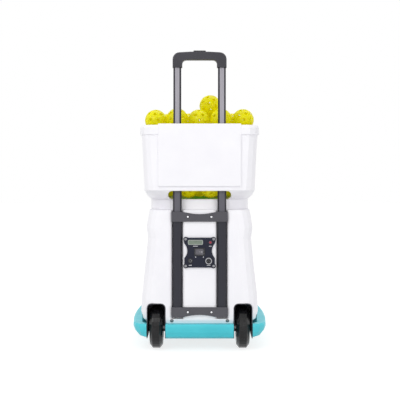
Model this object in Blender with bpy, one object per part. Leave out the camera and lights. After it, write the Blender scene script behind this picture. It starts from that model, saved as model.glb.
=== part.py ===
"""Pickleball throwing machine on luggage wheels, with a lift-off hopper and a telescopic trolley handle.

Metres, +Z up. The operator's side, with the handle and the control panel, faces -Y, and balls leave at +Y.
The origin lies on the floor, under the middle of the machine's bounding box.
"""
import math

import bmesh
import bpy
from mathutils import Matrix, Vector
from mathutils.bvhtree import BVHTree

for leftover in list(bpy.data.objects):
    bpy.data.objects.remove(leftover)


# Clearances

GAP = 0.0003
OVERLAP = 0.002
REACH = 0.05

# Ball

BALL_D = 0.074
BALL_R = BALL_D / 2
BALL_PITCH = BALL_D + GAP

# Smoothness of round shapes, in sides

SIDES_LARGE = 32
SIDES = 16
SIDES_SMALL = 12
CORNER_STEPS = 4

# Base tray

TRAY_BOTTOM_Z = 0.039
TRAY_HEIGHT = 0.049
TRAY_TOP_Z = TRAY_BOTTOM_Z + TRAY_HEIGHT
TRAY_FLOOR = 0.004
TRAY_HALF_WIDTH = 0.2155
TRAY_REAR_Y = -0.250
TRAY_FRONT_Y = 0.255
TRAY_CORNER_R = 0.060
TRAY_BARREL = 0.07
TRAY_RIM_WIDTH = 0.028
TRAY_PROFILE = ((0.0, 0.045), (0.0075, 0.0185), (0.0227, 0.005), (0.036, 0.0), (0.043, 0.0), (0.049, 0.006))

# Body shell: height over the floor, half width, rear, front and corner radius of each section

BODY_WALL = 0.003
BODY_DECK = 0.006
BODY_TOP_Z = 0.464
BODY_WAIST_DROP = 0.094
BODY_SHOULDER_DROP = 0.061
BODY_CROWN_DROP = 0.020
BODY_REAR_Y = -0.232
BODY_FOOT_Z = TRAY_TOP_Z + GAP
BODY_SECTIONS = (
    (BODY_FOOT_Z, 0.1770, BODY_REAR_Y + 0.005, 0.212, 0.045),
    (0.1000, 0.1895, BODY_REAR_Y + 0.001, 0.222, 0.048),
    (0.1224, 0.1964, BODY_REAR_Y, 0.228, 0.050),
    (0.1700, 0.1947, BODY_REAR_Y, 0.226, 0.050),
    (0.2790, 0.1825, BODY_REAR_Y, 0.216, 0.048),
    (BODY_TOP_Z - BODY_WAIST_DROP, 0.1733, BODY_REAR_Y, 0.208, 0.046),
    (BODY_TOP_Z - BODY_SHOULDER_DROP, 0.1782, BODY_REAR_Y, 0.211, 0.046),
    (BODY_TOP_Z - BODY_CROWN_DROP, 0.1726, BODY_REAR_Y, 0.204, 0.046),
    (BODY_TOP_Z, 0.1673, BODY_REAR_Y, 0.198, 0.046),
)

# Trolley handle: three nested stages on each side

TUBE_X = 0.074
TUBE_Y = -0.224
TUBE_WALL = 0.0012
TUBE_CHAMFER = 0.005
OUTER_TUBE_WIDTH = 0.032
OUTER_TUBE_DEPTH = 0.020
OUTER_TUBE_FOOT_Z = 0.112
OUTER_TUBE_TOP_Z = BODY_TOP_Z - 0.005
TUBE_INSERT = 0.044
TUBE_SLIP = TUBE_WALL + GAP
MIDDLE_TUBE_WIDTH = OUTER_TUBE_WIDTH - 2 * TUBE_SLIP
MIDDLE_TUBE_DEPTH = OUTER_TUBE_DEPTH - 2 * TUBE_SLIP
MIDDLE_TUBE_FOOT_Z = OUTER_TUBE_TOP_Z - TUBE_INSERT
MIDDLE_TUBE_TOP_Z = 0.735
TOP_TUBE_WIDTH = MIDDLE_TUBE_WIDTH - 2 * TUBE_SLIP
TOP_TUBE_DEPTH = MIDDLE_TUBE_DEPTH - 2 * TUBE_SLIP
TOP_TUBE_FOOT_Z = MIDDLE_TUBE_TOP_Z - TUBE_INSERT

# Handle grip and its release button

GRIP_HALF_WIDTH = 0.0895
GRIP_TOP_Z = 0.989
GRIP_BAR_HEIGHT = 0.028
GRIP_LEG_HEIGHT = 0.053
GRIP_UNDERSIDE_Z = GRIP_TOP_Z - GRIP_BAR_HEIGHT
GRIP_LEG_Z = GRIP_TOP_Z - GRIP_LEG_HEIGHT
GRIP_LEG_WIDTH = 0.032
GRIP_DEPTH = 0.026
GRIP_OUTER_R = 0.023
GRIP_INNER_R = 0.013
GRIP_CROWN = 0.002
GRIP_EDGE_R = 0.004
GRIP_SOCKET_DEPTH = 0.018
BUTTON_WIDTH = 0.041
BUTTON_DEPTH = 0.016
BUTTON_RISE = 0.004
BUTTON_TRAVEL = 0.004
BUTTON_HEIGHT = 0.013

# Tube grooves in the rear wall, and the brackets that hold the tubes in them

GROOVE_HALF_WIDTH = 0.018
GROOVE_FLOOR_Y = TUBE_Y + OUTER_TUBE_DEPTH / 2 + GAP
GROOVE_FOOT_Z = OUTER_TUBE_FOOT_Z - 0.008
GROOVE_LIP_WIDTH = 0.012
GROOVE_LIP_DEPTH = 0.008
BRACKET_HEIGHT = 0.033
BRACKET_WALL = 0.0035
BRACKET_DISH = 0.008
UPPER_BRACKET_Z = OUTER_TUBE_TOP_Z - BRACKET_HEIGHT
LOWER_BRACKET_Z = OUTER_TUBE_FOOT_Z - 0.002

# Wheels, their wells, liners and axles

WHEEL_D = 0.140
WHEEL_X = 0.144
WHEEL_Y = -0.185
WHEEL_Z = WHEEL_D / 2
TYRE_WIDTH = 0.043
TYRE_TREAD = 0.024
TYRE_SHOULDER = 0.012
WHEEL_RIM_R = 0.045
WHEEL_RIM_WALL = 0.007
WHEEL_WEB = 0.012
HUB_R = 0.014
AXLE_R = 0.006
AXLE_HEAD_R = 0.010
AXLE_HEAD = 0.005
WELL_HALF_WIDTH = TYRE_WIDTH / 2 + 0.0077
WELL_TOP_Z = WHEEL_D + 0.0125
WELL_FRONT_Y = WHEEL_Y + WHEEL_D / 2 + 0.010
WELL_CORNER_R = 0.014
LINER_WALL = 0.0022

# Front feet

FOOT_X = 0.140
FOOT_Y = 0.170
FOOT_R = 0.022
FOOT_TAPER = 0.004

# Hopper: height, half width, rear, front and corner radius of each section, outside and then inside

HOPPER_WALL = 0.0035
HOPPER_FOOT_Z = BODY_TOP_Z + GAP
HOPPER_REAR_Y = -0.244
NECK_REAR_Y = -0.205
NECK_HEIGHT = 0.0337
HOPPER_HEIGHT = 0.2817
RIM_BAND = 0.031
NECK_TOP_Z = HOPPER_FOOT_Z + NECK_HEIGHT
RIM_TOP_Z = HOPPER_FOOT_Z + HOPPER_HEIGHT
RIM_FOOT_Z = RIM_TOP_Z - RIM_BAND
NECK_HALF_WIDTH = 0.168
NECK_OUTSIDE = (NECK_HALF_WIDTH, NECK_REAR_Y, 0.168, 0.110)
HOPPER_OUTSIDE = (
    (NECK_TOP_Z + GAP, *NECK_OUTSIDE),
    (NECK_TOP_Z + 0.012, 0.1785, -0.2255, 0.176, 0.090),
    (NECK_TOP_Z + 0.032, 0.1850, HOPPER_REAR_Y, 0.181, 0.052),
    (NECK_TOP_Z + 0.077, 0.1865, HOPPER_REAR_Y, 0.182, 0.048),
    (NECK_TOP_Z + 0.152, 0.1900, HOPPER_REAR_Y, 0.184, 0.048),
    (RIM_FOOT_Z - 0.002, 0.1940, HOPPER_REAR_Y, 0.187, 0.048),
    (RIM_FOOT_Z, 0.1990, HOPPER_REAR_Y - 0.005, 0.192, 0.053),
    (RIM_TOP_Z - 0.008, 0.1990, HOPPER_REAR_Y - 0.005, 0.192, 0.053),
    (RIM_TOP_Z, 0.1950, HOPPER_REAR_Y - 0.001, 0.188, 0.049),
)
FUNNEL_TOP_Z = NECK_TOP_Z + 0.047
FUNNEL_FOOT_Z = NECK_TOP_Z + 0.004
REAR_PANEL_HALF_WIDTH = 0.137
REAR_PANEL_FOOT_Z = NECK_TOP_Z + 0.045
REAR_PANEL_TOP_Z = RIM_TOP_Z + 0.004
REAR_PANEL_PROUD = 0.0065
SLOT_HALF_WIDTH = 0.105
SLOT_FOOT_Z = NECK_TOP_Z + 0.0015
SLOT_TOP_Z = NECK_TOP_Z + 0.030
SLOT_END_R = 0.014

# Ball feeder on the deck: a pocketed disc over a spur gear

FEEDER_Y = -0.0185
THROAT_R = NECK_HALF_WIDTH - HOPPER_WALL
FEEDER_SIDE_GAP = 0.0065
FEEDER_R = THROAT_R - FEEDER_SIDE_GAP
FEEDER_THICKNESS = 0.030
FEEDER_HUB_R = 0.045
FEEDER_HUB_RISE = 0.010
POCKETS = 6
POCKET_RADIUS = THROAT_R - BALL_R - 0.003
POCKET_R = BALL_R + 0.005
FEEDER_SHAFT_R = 0.006
GEAR_MODULE = 0.0036
GEAR_TEETH = 30
PINION_TEETH = 9
GEAR_WIDTH = 0.010
GEAR_TOP_Z = BODY_TOP_Z - BODY_DECK - 0.007
GEAR_BACKLASH = 0.0002
GEAR_ADDENDUM = 0.9
GEAR_DEDENDUM = 1.25
PINION_SHAFT_R = 0.003

# Feed motor

FEED_MOTOR_R = 0.023
FEED_MOTOR_LENGTH = 0.090
FEED_FLANGE_R = 0.028
FEED_FLANGE = 0.004
FEED_FLANGE_TOP_Z = GEAR_TOP_Z - GEAR_WIDTH - 0.011
FEED_POST_R = 0.004

# Chute from the deck to the launcher

CHUTE_BORE_R = BALL_R + 0.0035
CHUTE_WALL = 0.0025
CHUTE_BEND_R = 0.090
CHUTE_END_Y = 0.004

# Launcher: two driven wheels in a cradle that tilts in a yoke, which turns on a pedestal

LAUNCHER_Y = 0.085
LAUNCHER_Z = 0.275
LAUNCH_WHEEL_D = 0.130
LAUNCH_WHEEL_WIDTH = 0.040
LAUNCH_HUB_R = 0.048
LAUNCH_BOSS_R = 0.012
LAUNCH_WEB = 0.012
LAUNCH_RIM_WALL = 0.008
NIP = BALL_D - 0.010
LAUNCH_WHEEL_RISE = LAUNCH_WHEEL_D / 2 + NIP / 2
PLATE_X = BALL_R + 0.003
PLATE_THICKNESS = 0.003
PLATE_ARM = 0.020
PLATE_HALF_HEIGHT = LAUNCH_WHEEL_RISE + 0.018
PLATE_MIDDLE_HALF_DEPTH = 0.055
PLATE_MIDDLE_HALF_HEIGHT = 0.052
SPACER_R = 0.004
TRUNNION_R = 0.005
TROUGH_WALL = 0.003
TROUGH_R = PLATE_X - TROUGH_WALL / 2
TROUGH_CLEARANCE = 0.003
TROUGH_REAR_Y = LAUNCHER_Y - PLATE_MIDDLE_HALF_DEPTH - 0.002
TROUGH_FRONT_Y = LAUNCHER_Y - math.sqrt(
    (LAUNCH_WHEEL_D / 2 + TROUGH_CLEARANCE) ** 2 - (LAUNCH_WHEEL_RISE - TROUGH_R - TROUGH_WALL) ** 2)
MOTOR_R = 0.030
MOTOR_LENGTH = 0.045
MOTOR_SHAFT_R = 0.004
YOKE_X = PLATE_X + PLATE_THICKNESS + MOTOR_LENGTH + 0.004
YOKE_SHEET = 0.0035
YOKE_HALF_DEPTH = 0.022
YOKE_BASE_Z = 0.100
YOKE_HEAD_Z = LAUNCHER_Z + 0.020
PEDESTAL_R = 0.035
PEDESTAL_SPIGOT_R = 0.008

# Ball outlet in the front wall

OUTLET_HALF_WIDTH = 0.065
OUTLET_FOOT_Z = LAUNCHER_Z - 0.050
OUTLET_TOP_Z = LAUNCHER_Z + 0.086
OUTLET_CORNER_R = 0.027
BEZEL_WALL = 0.018
BEZEL_LIP = 0.006
BEZEL_LIP_THICKNESS = 0.003
BEZEL_LIP_Y = 0.2275
BEZEL_DEPTH = 0.026

# Control panel

PANEL_Z = 0.3238
PANEL_HALF_WIDTH = 0.0505
PANEL_HALF_HEIGHT = 0.0493
PANEL_THICKNESS = 0.005
PANEL_EAR_X = 0.0465
PANEL_EAR_RISE = 0.0445
PANEL_EAR_R = 0.0075
PANEL_CUTOUT_DEPTH = 0.010
PANEL_CUTOUT_HALF_HEIGHT = 0.0243
PANEL_CUTOUT_RISE = 0.006
PANEL_BACK_Y = BODY_REAR_Y - GAP
PANEL_FACE_Y = PANEL_BACK_Y - PANEL_THICKNESS
DISPLAY_X = -0.0137
DISPLAY_Z = 0.3578
DISPLAY_WIDTH = 0.049
DISPLAY_HEIGHT = 0.0155
DISPLAY_DEPTH = 0.002
ROCKER_X = -0.0002
ROCKER_Z = 0.3264
ROCKER_BEZEL_WIDTH = 0.036
ROCKER_BEZEL_HEIGHT = 0.026
ROCKER_BEZEL_RISE = 0.002
ROCKER_HALF_WIDTH = 0.0135
ROCKER_HALF_HEIGHT = 0.0095
ROCKER_HALF_ANGLE = 10
ROCKER_PIVOT_DEPTH = 0.0025
ROCKER_SIDE_GAP = 0.001
ROCKER_BACK = 0.0005
ROCKER_MIDDLE = 0.0030
ROCKER_END = 0.0042
MODE_X = 0.0356
MODE_Z = 0.3577
MODE_R = 0.005
MODE_RISE = 0.003
MODE_TRAVEL = 0.0015
REMOTE_X = -0.0307
REMOTE_Z = 0.297
REMOTE_R = 0.007
REMOTE_BORE_R = 0.0035
INLET_X = 0.0299
INLET_Z = 0.2963
INLET_R = 0.011
INLET_BORE_R = 0.0085
SOCKET_RISE = 0.0035
SOCKET_FLANGE = 0.0015
SOCKET_FLOOR = 0.0015

# Battery and control board

BATTERY_WIDTH = 0.181
BATTERY_DEPTH = 0.077
BATTERY_HEIGHT = 0.167
BATTERY_REAR_Y = -0.200
TERMINAL = 0.010
BOARD_SIDE_GAP = 0.001
BOARD_WIDTH = 2 * (TUBE_X - GROOVE_HALF_WIDTH - GROOVE_LIP_WIDTH - BOARD_SIDE_GAP)
BOARD_HEIGHT = 0.110
BOARD_THICKNESS = 0.0016
BOARD_STANDOFF = 0.010
BOARD_Z = 0.330
BOARD_POST_R = 0.003
BOARD_POST_INSET = 0.006
RELAY_WIDTH = 0.030
RELAY_HEIGHT = 0.040
RELAY_DEPTH = 0.012
RELAY_SHIFT = 0.010

# Load of balls: full layers rise to the fill line, lower towards the front

BALL_COLUMNS = 5
REAR_ROWS = 3
FRONT_ROWS = 2
FILL_LAYER_Z = RIM_TOP_Z - 0.048
FILL_REAR_Y = -0.203
FILL_SIDE_GAP = 0.0009
FILL_FOOT_Z = NECK_TOP_Z + 0.014
HEAP_RISE = 0.003
SLOT_BALL_PROUD = 0.003
BALL_FACETS = 2
LUMP_SIDES = 8
LUMP_RINGS = (-15, 30, 60)
LAYER_RISE = BALL_PITCH / math.sqrt(2)
# Plan positions of the balls that lie loose on the top layer, in the order in which they settle
LOOSE_BALLS = {
    "ball_left_corner": (-0.1480, -0.1400),
    "ball_left": (-0.0770, -0.1520),
    "ball_centre": (-0.0020, -0.1440),
    "ball_right": (0.0720, -0.1500),
    "ball_right_corner": (0.1480, -0.1450),
    "ball_behind_left": (-0.1100, -0.0680),
    "ball_behind_centre": (-0.0350, -0.0700),
    "ball_behind_right": (0.0395, -0.0680),
    "ball_behind_far_right": (0.1140, -0.0700),
    "ball_peak": (0.0360, -0.1100),
}


# Materials

def material(name, colour, roughness, metallic=0.0):
    made = bpy.data.materials.new(name)
    made.use_nodes = True
    shader = made.node_tree.nodes["Principled BSDF"]
    shader.inputs["Base Color"].default_value = (*colour, 1.0)
    shader.inputs["Roughness"].default_value = roughness
    shader.inputs["Metallic"].default_value = metallic
    return made


WHITE_PLASTIC = material("white_plastic", (0.86, 0.86, 0.88), 0.35)
TEAL_PLASTIC = material("teal_plastic", (0.08, 0.56, 0.66), 0.35)
BLACK_PLASTIC = material("black_plastic", (0.03, 0.03, 0.035), 0.45)
GRIP_PLASTIC = material("grip_plastic", (0.05, 0.05, 0.06), 0.5)
NAVY_PLASTIC = material("navy_plastic", (0.025, 0.03, 0.055), 0.4)
RED_PLASTIC = material("red_plastic", (0.62, 0.03, 0.09), 0.3)
DISPLAY_GLASS = material("display_glass", (0.33, 0.4, 0.32), 0.15)
TYRE_RUBBER = material("tyre_rubber", (0.035, 0.035, 0.04), 0.6)
SOFT_RUBBER = material("soft_rubber", (0.05, 0.05, 0.05), 0.8)
DARK_TUBE = material("dark_tube", (0.035, 0.035, 0.045), 0.35, 0.6)
GREY_TUBE = material("grey_tube", (0.45, 0.44, 0.48), 0.35, 0.8)
STEEL = material("steel", (0.6, 0.6, 0.62), 0.3, 1.0)
ALUMINIUM = material("aluminium", (0.72, 0.72, 0.74), 0.35, 1.0)
GEAR_NYLON = material("gear_nylon", (0.8, 0.78, 0.7), 0.5)
BOARD_GREEN = material("board_green", (0.02, 0.2, 0.07), 0.5)
BALL_YELLOW = material("ball_yellow", (0.75, 0.68, 0.01), 0.4)


# Shape tools

def finish(shape, name, look=None):
    """Turn a bmesh into a smooth-shaded object with one material."""
    bmesh.ops.remove_doubles(shape, verts=shape.verts, dist=1e-6)
    bmesh.ops.recalc_face_normals(shape, faces=shape.faces)
    mesh = bpy.data.meshes.new(name)
    shape.to_mesh(mesh)
    shape.free()
    mesh.shade_smooth()
    mesh.set_sharp_from_angle(angle=math.radians(30))
    mesh.materials.append(look)
    piece = bpy.data.objects.new(name, mesh)
    bpy.context.scene.collection.objects.link(piece)
    return piece


def loft(name, loops, look=None, closed=False):
    """Skin a row of loops with equal counts of points. A closed row bites its own tail, as a ring does."""
    shape = bmesh.new()
    rings = [[shape.verts.new(point) for point in loop] for loop in loops]
    pairs = list(zip(rings, rings[1:]))
    if closed:
        pairs.append((rings[-1], rings[0]))
    else:
        shape.faces.new(tuple(reversed(rings[0])))
        shape.faces.new(tuple(rings[-1]))
    for near, far in pairs:
        for index, corner in enumerate(near):
            after = (index + 1) % len(near)
            shape.faces.new((corner, near[after], far[after], far[index]))
    return finish(shape, name, look)


def along(axis, first, second, distance):
    """A point from two coordinates of a flat outline and a distance along the axis square to it."""
    if axis == "X":
        return Vector((distance, first, second))
    if axis == "Y":
        return Vector((first, distance, second))
    return Vector((first, second, distance))


def prism(name, outline, axis, low, high, look=None, edge=0.0):
    """Extrude a flat outline along an axis, with rounded end edges if an edge radius is given."""
    loops = [[along(axis, first, second, distance) for first, second in outline] for distance in (low, high)]
    piece = loft(name, loops, look)
    if edge:
        soften(piece, axis, (low, high), edge)
    return piece


def soften(piece, axis, ends, radius):
    """Bevel the edges that lie in the two end planes of a prism."""
    index = "XYZ".index(axis)
    shape = bmesh.new()
    shape.from_mesh(piece.data)
    rims = [
        edge
        for edge in shape.edges
        if any(all(abs(corner.co[index] - end) < 1e-6 for corner in edge.verts) for end in ends)
    ]
    bmesh.ops.bevel(shape, geom=rims, offset=radius, segments=2, profile=0.5, affect="EDGES")
    shape.to_mesh(piece.data)
    shape.free()


def turned(name, profile, axis, centre, sides, look=None, closed=False):
    """Turn a profile of (radius, distance) points about an axis through the centre."""
    loops = []
    for radius, distance in profile:
        loop = []
        for side in range(sides):
            angle = math.tau * side / sides - math.pi / 2
            loop.append(along(axis, radius * math.cos(angle), radius * math.sin(angle), distance))
        loops.append([point + Vector(centre) for point in loop])
    return loft(name, loops, look, closed)


def rod(name, axis, centre, radius, low, high, sides, look=None):
    return turned(name, ((radius, low), (radius, high)), axis, centre, sides, look)


def box(name, low, high, look=None, edge=0.0):
    shape = bmesh.new()
    bmesh.ops.create_cube(shape, size=1.0)
    for corner in shape.verts:
        for index in range(3):
            corner.co[index] = high[index] if corner.co[index] > 0 else low[index]
    if edge:
        bmesh.ops.bevel(shape, geom=shape.edges[:], offset=edge, segments=1, affect="EDGES")
    return finish(shape, name, look)


def rounded(half_width, low, high, radius, steps=CORNER_STEPS):
    """Outline of a rounded rectangle, counter-clockwise from its lower right corner."""
    corners = (
        (half_width - radius, low + radius, -90),
        (half_width - radius, high - radius, 0),
        (-half_width + radius, high - radius, 90),
        (-half_width + radius, low + radius, 180),
    )
    points = []
    for first, second, start in corners:
        for step in range(steps + 1):
            angle = math.radians(start + 90 * step / steps)
            points.append((first + radius * math.cos(angle), second + radius * math.sin(angle)))
    return points


def section(height, half_width, rear, front, radius):
    """A rounded rectangle lying flat at a height."""
    return [Vector((x, y, height)) for x, y in rounded(half_width, rear, front, radius)]


def inset(size, margin):
    """A section drawn in by a margin on every side."""
    height, half_width, rear, front, radius = size
    return height, half_width - margin, rear + margin, front - margin, max(radius - margin, margin)


def shifted(outline, first, second=0.0):
    return [(x + first, y + second) for x, y in outline]


def combine(piece, tool, operation):
    modifier = piece.modifiers.new(tool.name, "BOOLEAN")
    modifier.operation = operation
    modifier.solver = "EXACT"
    modifier.object = tool
    tool.hide_render = True
    tool.display_type = "WIRE"


def cut(piece, *tools):
    for tool in tools:
        combine(piece, tool, "DIFFERENCE")
    return piece


def join(piece, *tools):
    for tool in tools:
        combine(piece, tool, "UNION")
    return piece


# Carriers: one empty for each moving body, on its joint's axis

HOMES = {}


def carrier(name, home, parent=None):
    empty = bpy.data.objects.new(name, None)
    bpy.context.scene.collection.objects.link(empty)
    empty.empty_display_size = 0.03
    HOMES[name] = Vector(home)
    empty.location = Vector(home)
    if parent:
        empty.parent = parent
        empty.location -= HOMES[parent.name]
    return empty


def carry(empty, *pieces):
    """Hang pieces, and the tools that shape them, on the empty that moves them."""
    for piece in pieces:
        if piece.parent:
            continue
        piece.data.transform(Matrix.Translation(-HOMES[empty.name]))
        piece.parent = empty
        carry(empty, *[modifier.object for modifier in piece.modifiers])


# Base tray, feet, wheel wells and wheels

def tray_section(height, margin, depth_share):
    """A barrel-sided section of the tray, drawn in by a margin."""
    rear = TRAY_REAR_Y + margin * depth_share
    front = TRAY_FRONT_Y - margin * depth_share
    middle = (TRAY_REAR_Y + TRAY_FRONT_Y) / 2
    half_depth = (TRAY_FRONT_Y - TRAY_REAR_Y) / 2
    corner = max(TRAY_CORNER_R - margin, TRAY_CORNER_R / 3)
    outline = rounded(TRAY_HALF_WIDTH - margin, rear, front, corner)
    per_corner = len(outline) // 4
    right = outline[per_corner - 1][0]
    sides = []
    for share in (0.3, 0.5, 0.7):
        sides.append((right, outline[per_corner - 1][1] * (1 - share) + outline[per_corner][1] * share))
    left = [(-x, y) for x, y in reversed(sides)]
    last = 3 * per_corner
    outline = outline[:per_corner] + sides + outline[per_corner:last] + left + outline[last:]
    points = []
    for x, y in outline:
        swell = 1 + TRAY_BARREL * (1 - ((y - middle) / half_depth) ** 2)
        points.append(Vector((x * swell, y, height)))
    return points


def well_outline(margin):
    """The arch of a wheel well, seen from the rear, widened by a margin."""
    top = WELL_TOP_Z + margin
    half_width = WELL_HALF_WIDTH + margin
    radius = WELL_CORNER_R + margin
    arch = [(half_width, TRAY_BOTTOM_Z - REACH)]
    for start, side in ((0, 1), (90, -1)):
        for step in range(CORNER_STEPS + 1):
            angle = math.radians(start + 90 * step / CORNER_STEPS)
            arch.append((side * (half_width - radius) + radius * math.cos(angle),
                         top - radius + radius * math.sin(angle)))
    arch.append((-half_width, TRAY_BOTTOM_Z - REACH))
    return arch


def well_cutter(name, x):
    margin = LINER_WALL + GAP
    return prism(name, shifted(well_outline(margin), x), "Y", TRAY_REAR_Y - REACH, WELL_FRONT_Y + margin)


def base_tray():
    outside = [tray_section(TRAY_BOTTOM_Z + rise, margin, 0.4) for rise, margin in TRAY_PROFILE]
    mouth = tray_section(TRAY_TOP_Z, TRAY_RIM_WIDTH, 1)
    floor = tray_section(TRAY_BOTTOM_Z + TRAY_FLOOR, TRAY_RIM_WIDTH + 0.022, 1)
    tray = loft("base_tray", outside + [mouth, floor], TEAL_PLASTIC)
    return cut(tray, well_cutter("left_well_in_tray", -WHEEL_X), well_cutter("right_well_in_tray", WHEEL_X))


def wheel_well_liner(side, x):
    """A box open to the rear and below, with a hole in each cheek for the axle."""
    liner = prism(side + "_wheel_well_liner", shifted(well_outline(LINER_WALL), x), "Y", BODY_REAR_Y,
                  WELL_FRONT_Y + LINER_WALL, BLACK_PLASTIC)
    inside = prism(side + "_liner_inside", shifted(well_outline(0), x), "Y", BODY_REAR_Y - REACH,
                   WELL_FRONT_Y)
    below = box(side + "_liner_foot", (x - REACH, BODY_REAR_Y - REACH, TRAY_BOTTOM_Z - 2 * REACH),
                (x + REACH, WELL_FRONT_Y + REACH, TRAY_BOTTOM_Z))
    hole = rod(side + "_liner_axle_hole", "X", (x, WHEEL_Y, WHEEL_Z), AXLE_R + GAP, -REACH, REACH,
               SIDES_SMALL)
    return cut(liner, inside, below, hole)


def axle(side, x):
    """A plain pin across the well, with its head against the outer cheek."""
    outward = math.copysign(1, x)
    head_face = WELL_HALF_WIDTH - GAP
    profile = (
        (AXLE_R, -WELL_HALF_WIDTH - LINER_WALL),
        (AXLE_R, head_face - AXLE_HEAD),
        (AXLE_HEAD_R, head_face - AXLE_HEAD),
        (AXLE_HEAD_R, head_face),
        (AXLE_R, head_face),
        (AXLE_R, WELL_HALF_WIDTH + LINER_WALL),
    )
    profile = [(radius, outward * distance) for radius, distance in profile]
    return turned(side + "_axle", profile, "X", (x, WHEEL_Y, WHEEL_Z), SIDES_SMALL, STEEL)


def tyre(side, x):
    half_width = TYRE_WIDTH / 2
    inside = WHEEL_RIM_R + GAP
    shoulder = WHEEL_D / 2 - TYRE_SHOULDER
    profile = (
        (inside, -half_width),
        (shoulder, -half_width),
        (WHEEL_D / 2, -TYRE_TREAD / 2),
        (WHEEL_D / 2, TYRE_TREAD / 2),
        (shoulder, half_width),
        (inside, half_width),
    )
    return turned(side + "_tyre", profile, "X", (x, WHEEL_Y, WHEEL_Z), SIDES_LARGE, TYRE_RUBBER, closed=True)


def wheel_hub(side, x):
    half_width = TYRE_WIDTH / 2
    rim_inside = WHEEL_RIM_R - WHEEL_RIM_WALL
    right = (
        (AXLE_R + GAP, half_width),
        (HUB_R, half_width),
        (HUB_R, WHEEL_WEB / 2),
        (rim_inside, WHEEL_WEB / 2),
        (rim_inside, half_width),
        (WHEEL_RIM_R, half_width),
    )
    left = [(radius, -distance) for radius, distance in reversed(right)]
    return turned(side + "_wheel_hub", list(right) + left, "X", (x, WHEEL_Y, WHEEL_Z), SIDES, BLACK_PLASTIC,
                  closed=True)


def front_foot(side, x):
    profile = ((FOOT_R, 0.0), (FOOT_R - FOOT_TAPER, TRAY_BOTTOM_Z - GAP))
    return turned(side + "_front_foot", profile, "Z", (x, FOOT_Y, 0), SIDES, SOFT_RUBBER)


# Body shell

def groove_outline(x):
    """Section of a tube groove, seen from above, with lips that roll over into the lobes."""
    lip_foot_y = BODY_REAR_Y + GROOVE_LIP_DEPTH
    half = [(GROOVE_HALF_WIDTH, GROOVE_FLOOR_Y)]
    for step in range(CORNER_STEPS + 1):
        angle = math.radians(90 * step / CORNER_STEPS)
        half.append((GROOVE_HALF_WIDTH + GROOVE_LIP_WIDTH * (1 - math.cos(angle)),
                     lip_foot_y - GROOVE_LIP_DEPTH * math.sin(angle)))
    half.append((GROOVE_HALF_WIDTH + GROOVE_LIP_WIDTH, BODY_REAR_Y - REACH))
    mirrored = [(-first, second) for first, second in reversed(half)]
    return shifted(half + mirrored, x)


def body_core():
    """The hollow of the body shell, which leaves a rib of plastic round each tube groove."""
    loops = [section(BODY_FOOT_Z - REACH, *inset(BODY_SECTIONS[0], BODY_WALL)[1:])]
    loops += [section(*inset(size, BODY_WALL)) for size in BODY_SECTIONS[:-1]]
    roof = inset(BODY_SECTIONS[-1], BODY_WALL)
    loops += [section(*roof), section(BODY_TOP_Z + REACH, *roof[1:])]
    core = loft("body_core", loops)
    for side, x in (("left", -TUBE_X), ("right", TUBE_X)):
        reach = GROOVE_HALF_WIDTH + GROOVE_LIP_WIDTH
        rib = box(side + "_groove_rib", (x - reach, BODY_REAR_Y - REACH, GROOVE_FOOT_Z - BODY_WALL),
                  (x + reach, GROOVE_FLOOR_Y + BODY_WALL, BODY_TOP_Z + REACH))
        cut(core, rib)
    return core


def body_shell():
    shell = loft("body_shell", [section(*size) for size in BODY_SECTIONS], WHITE_PLASTIC)
    for side, x in (("left", -TUBE_X), ("right", TUBE_X)):
        cut(shell, prism(side + "_tube_groove", groove_outline(x), "Z", GROOVE_FOOT_Z, BODY_TOP_Z + REACH))
    cut(shell, body_core())
    cut(shell, well_cutter("left_well_in_body", -WHEEL_X), well_cutter("right_well_in_body", WHEEL_X))
    return cut(shell, outlet_prism("frame_hole", BEZEL_WALL + GAP, BEZEL_LIP_Y - REACH,
                                   BEZEL_LIP_Y + REACH))


def deck_rib_cutters():
    """Boxes that keep the deck off the ribs round the tube grooves."""
    reach = GROOVE_HALF_WIDTH + GROOVE_LIP_WIDTH + GAP
    return [box(side + "_deck_notch", (x - reach, BODY_REAR_Y - REACH, BODY_TOP_Z - REACH),
                (x + reach, GROOVE_FLOOR_Y + BODY_WALL + GAP, BODY_TOP_Z + REACH))
            for side, x in (("left", -TUBE_X), ("right", TUBE_X))]


def feeder_deck():
    """The plate that closes the body under the feeder, with the drop hole and the shaft hole."""
    top = BODY_SECTIONS[-1]
    foot = mix(top, BODY_SECTIONS[-2], BODY_DECK / BODY_CROWN_DROP)
    deck = loft("feeder_deck", [section(*inset(size, BODY_WALL + GAP)) for size in (foot, top)],
                WHITE_PLASTIC)
    drop_hole = rod("drop_hole", "Z", (0, FEEDER_Y - POCKET_RADIUS, BODY_TOP_Z), CHUTE_BORE_R, -REACH, REACH,
                    SIDES)
    shaft_hole = rod("feeder_shaft_hole", "Z", (0, FEEDER_Y, BODY_TOP_Z), FEEDER_SHAFT_R + GAP, -REACH, REACH,
                     SIDES_SMALL)
    return cut(deck, drop_hole, shaft_hole, *deck_rib_cutters())


def outlet_prism(name, margin, low, high, look=None):
    """The outlet's rounded outline, grown by a margin, run from one depth to another."""
    outline = rounded(OUTLET_HALF_WIDTH + margin, OUTLET_FOOT_Z - margin, OUTLET_TOP_Z + margin,
                      OUTLET_CORNER_R + margin)
    return prism(name, outline, "Y", low, high, look)


def outlet_bezel():
    """The frame of the outlet: a thick sleeve through the shell with a lip on its outer face."""
    frame = outlet_prism("outlet_bezel", BEZEL_WALL, BEZEL_LIP_Y - BEZEL_DEPTH,
                         BEZEL_LIP_Y + BEZEL_LIP_THICKNESS / 2, BLACK_PLASTIC)
    join(frame, outlet_prism("bezel_lip", BEZEL_WALL + BEZEL_LIP, BEZEL_LIP_Y,
                             BEZEL_LIP_Y + BEZEL_LIP_THICKNESS))
    return cut(frame, outlet_prism("bezel_hole", 0, BEZEL_LIP_Y - REACH, BEZEL_LIP_Y + REACH))


# Trolley handle

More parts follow.
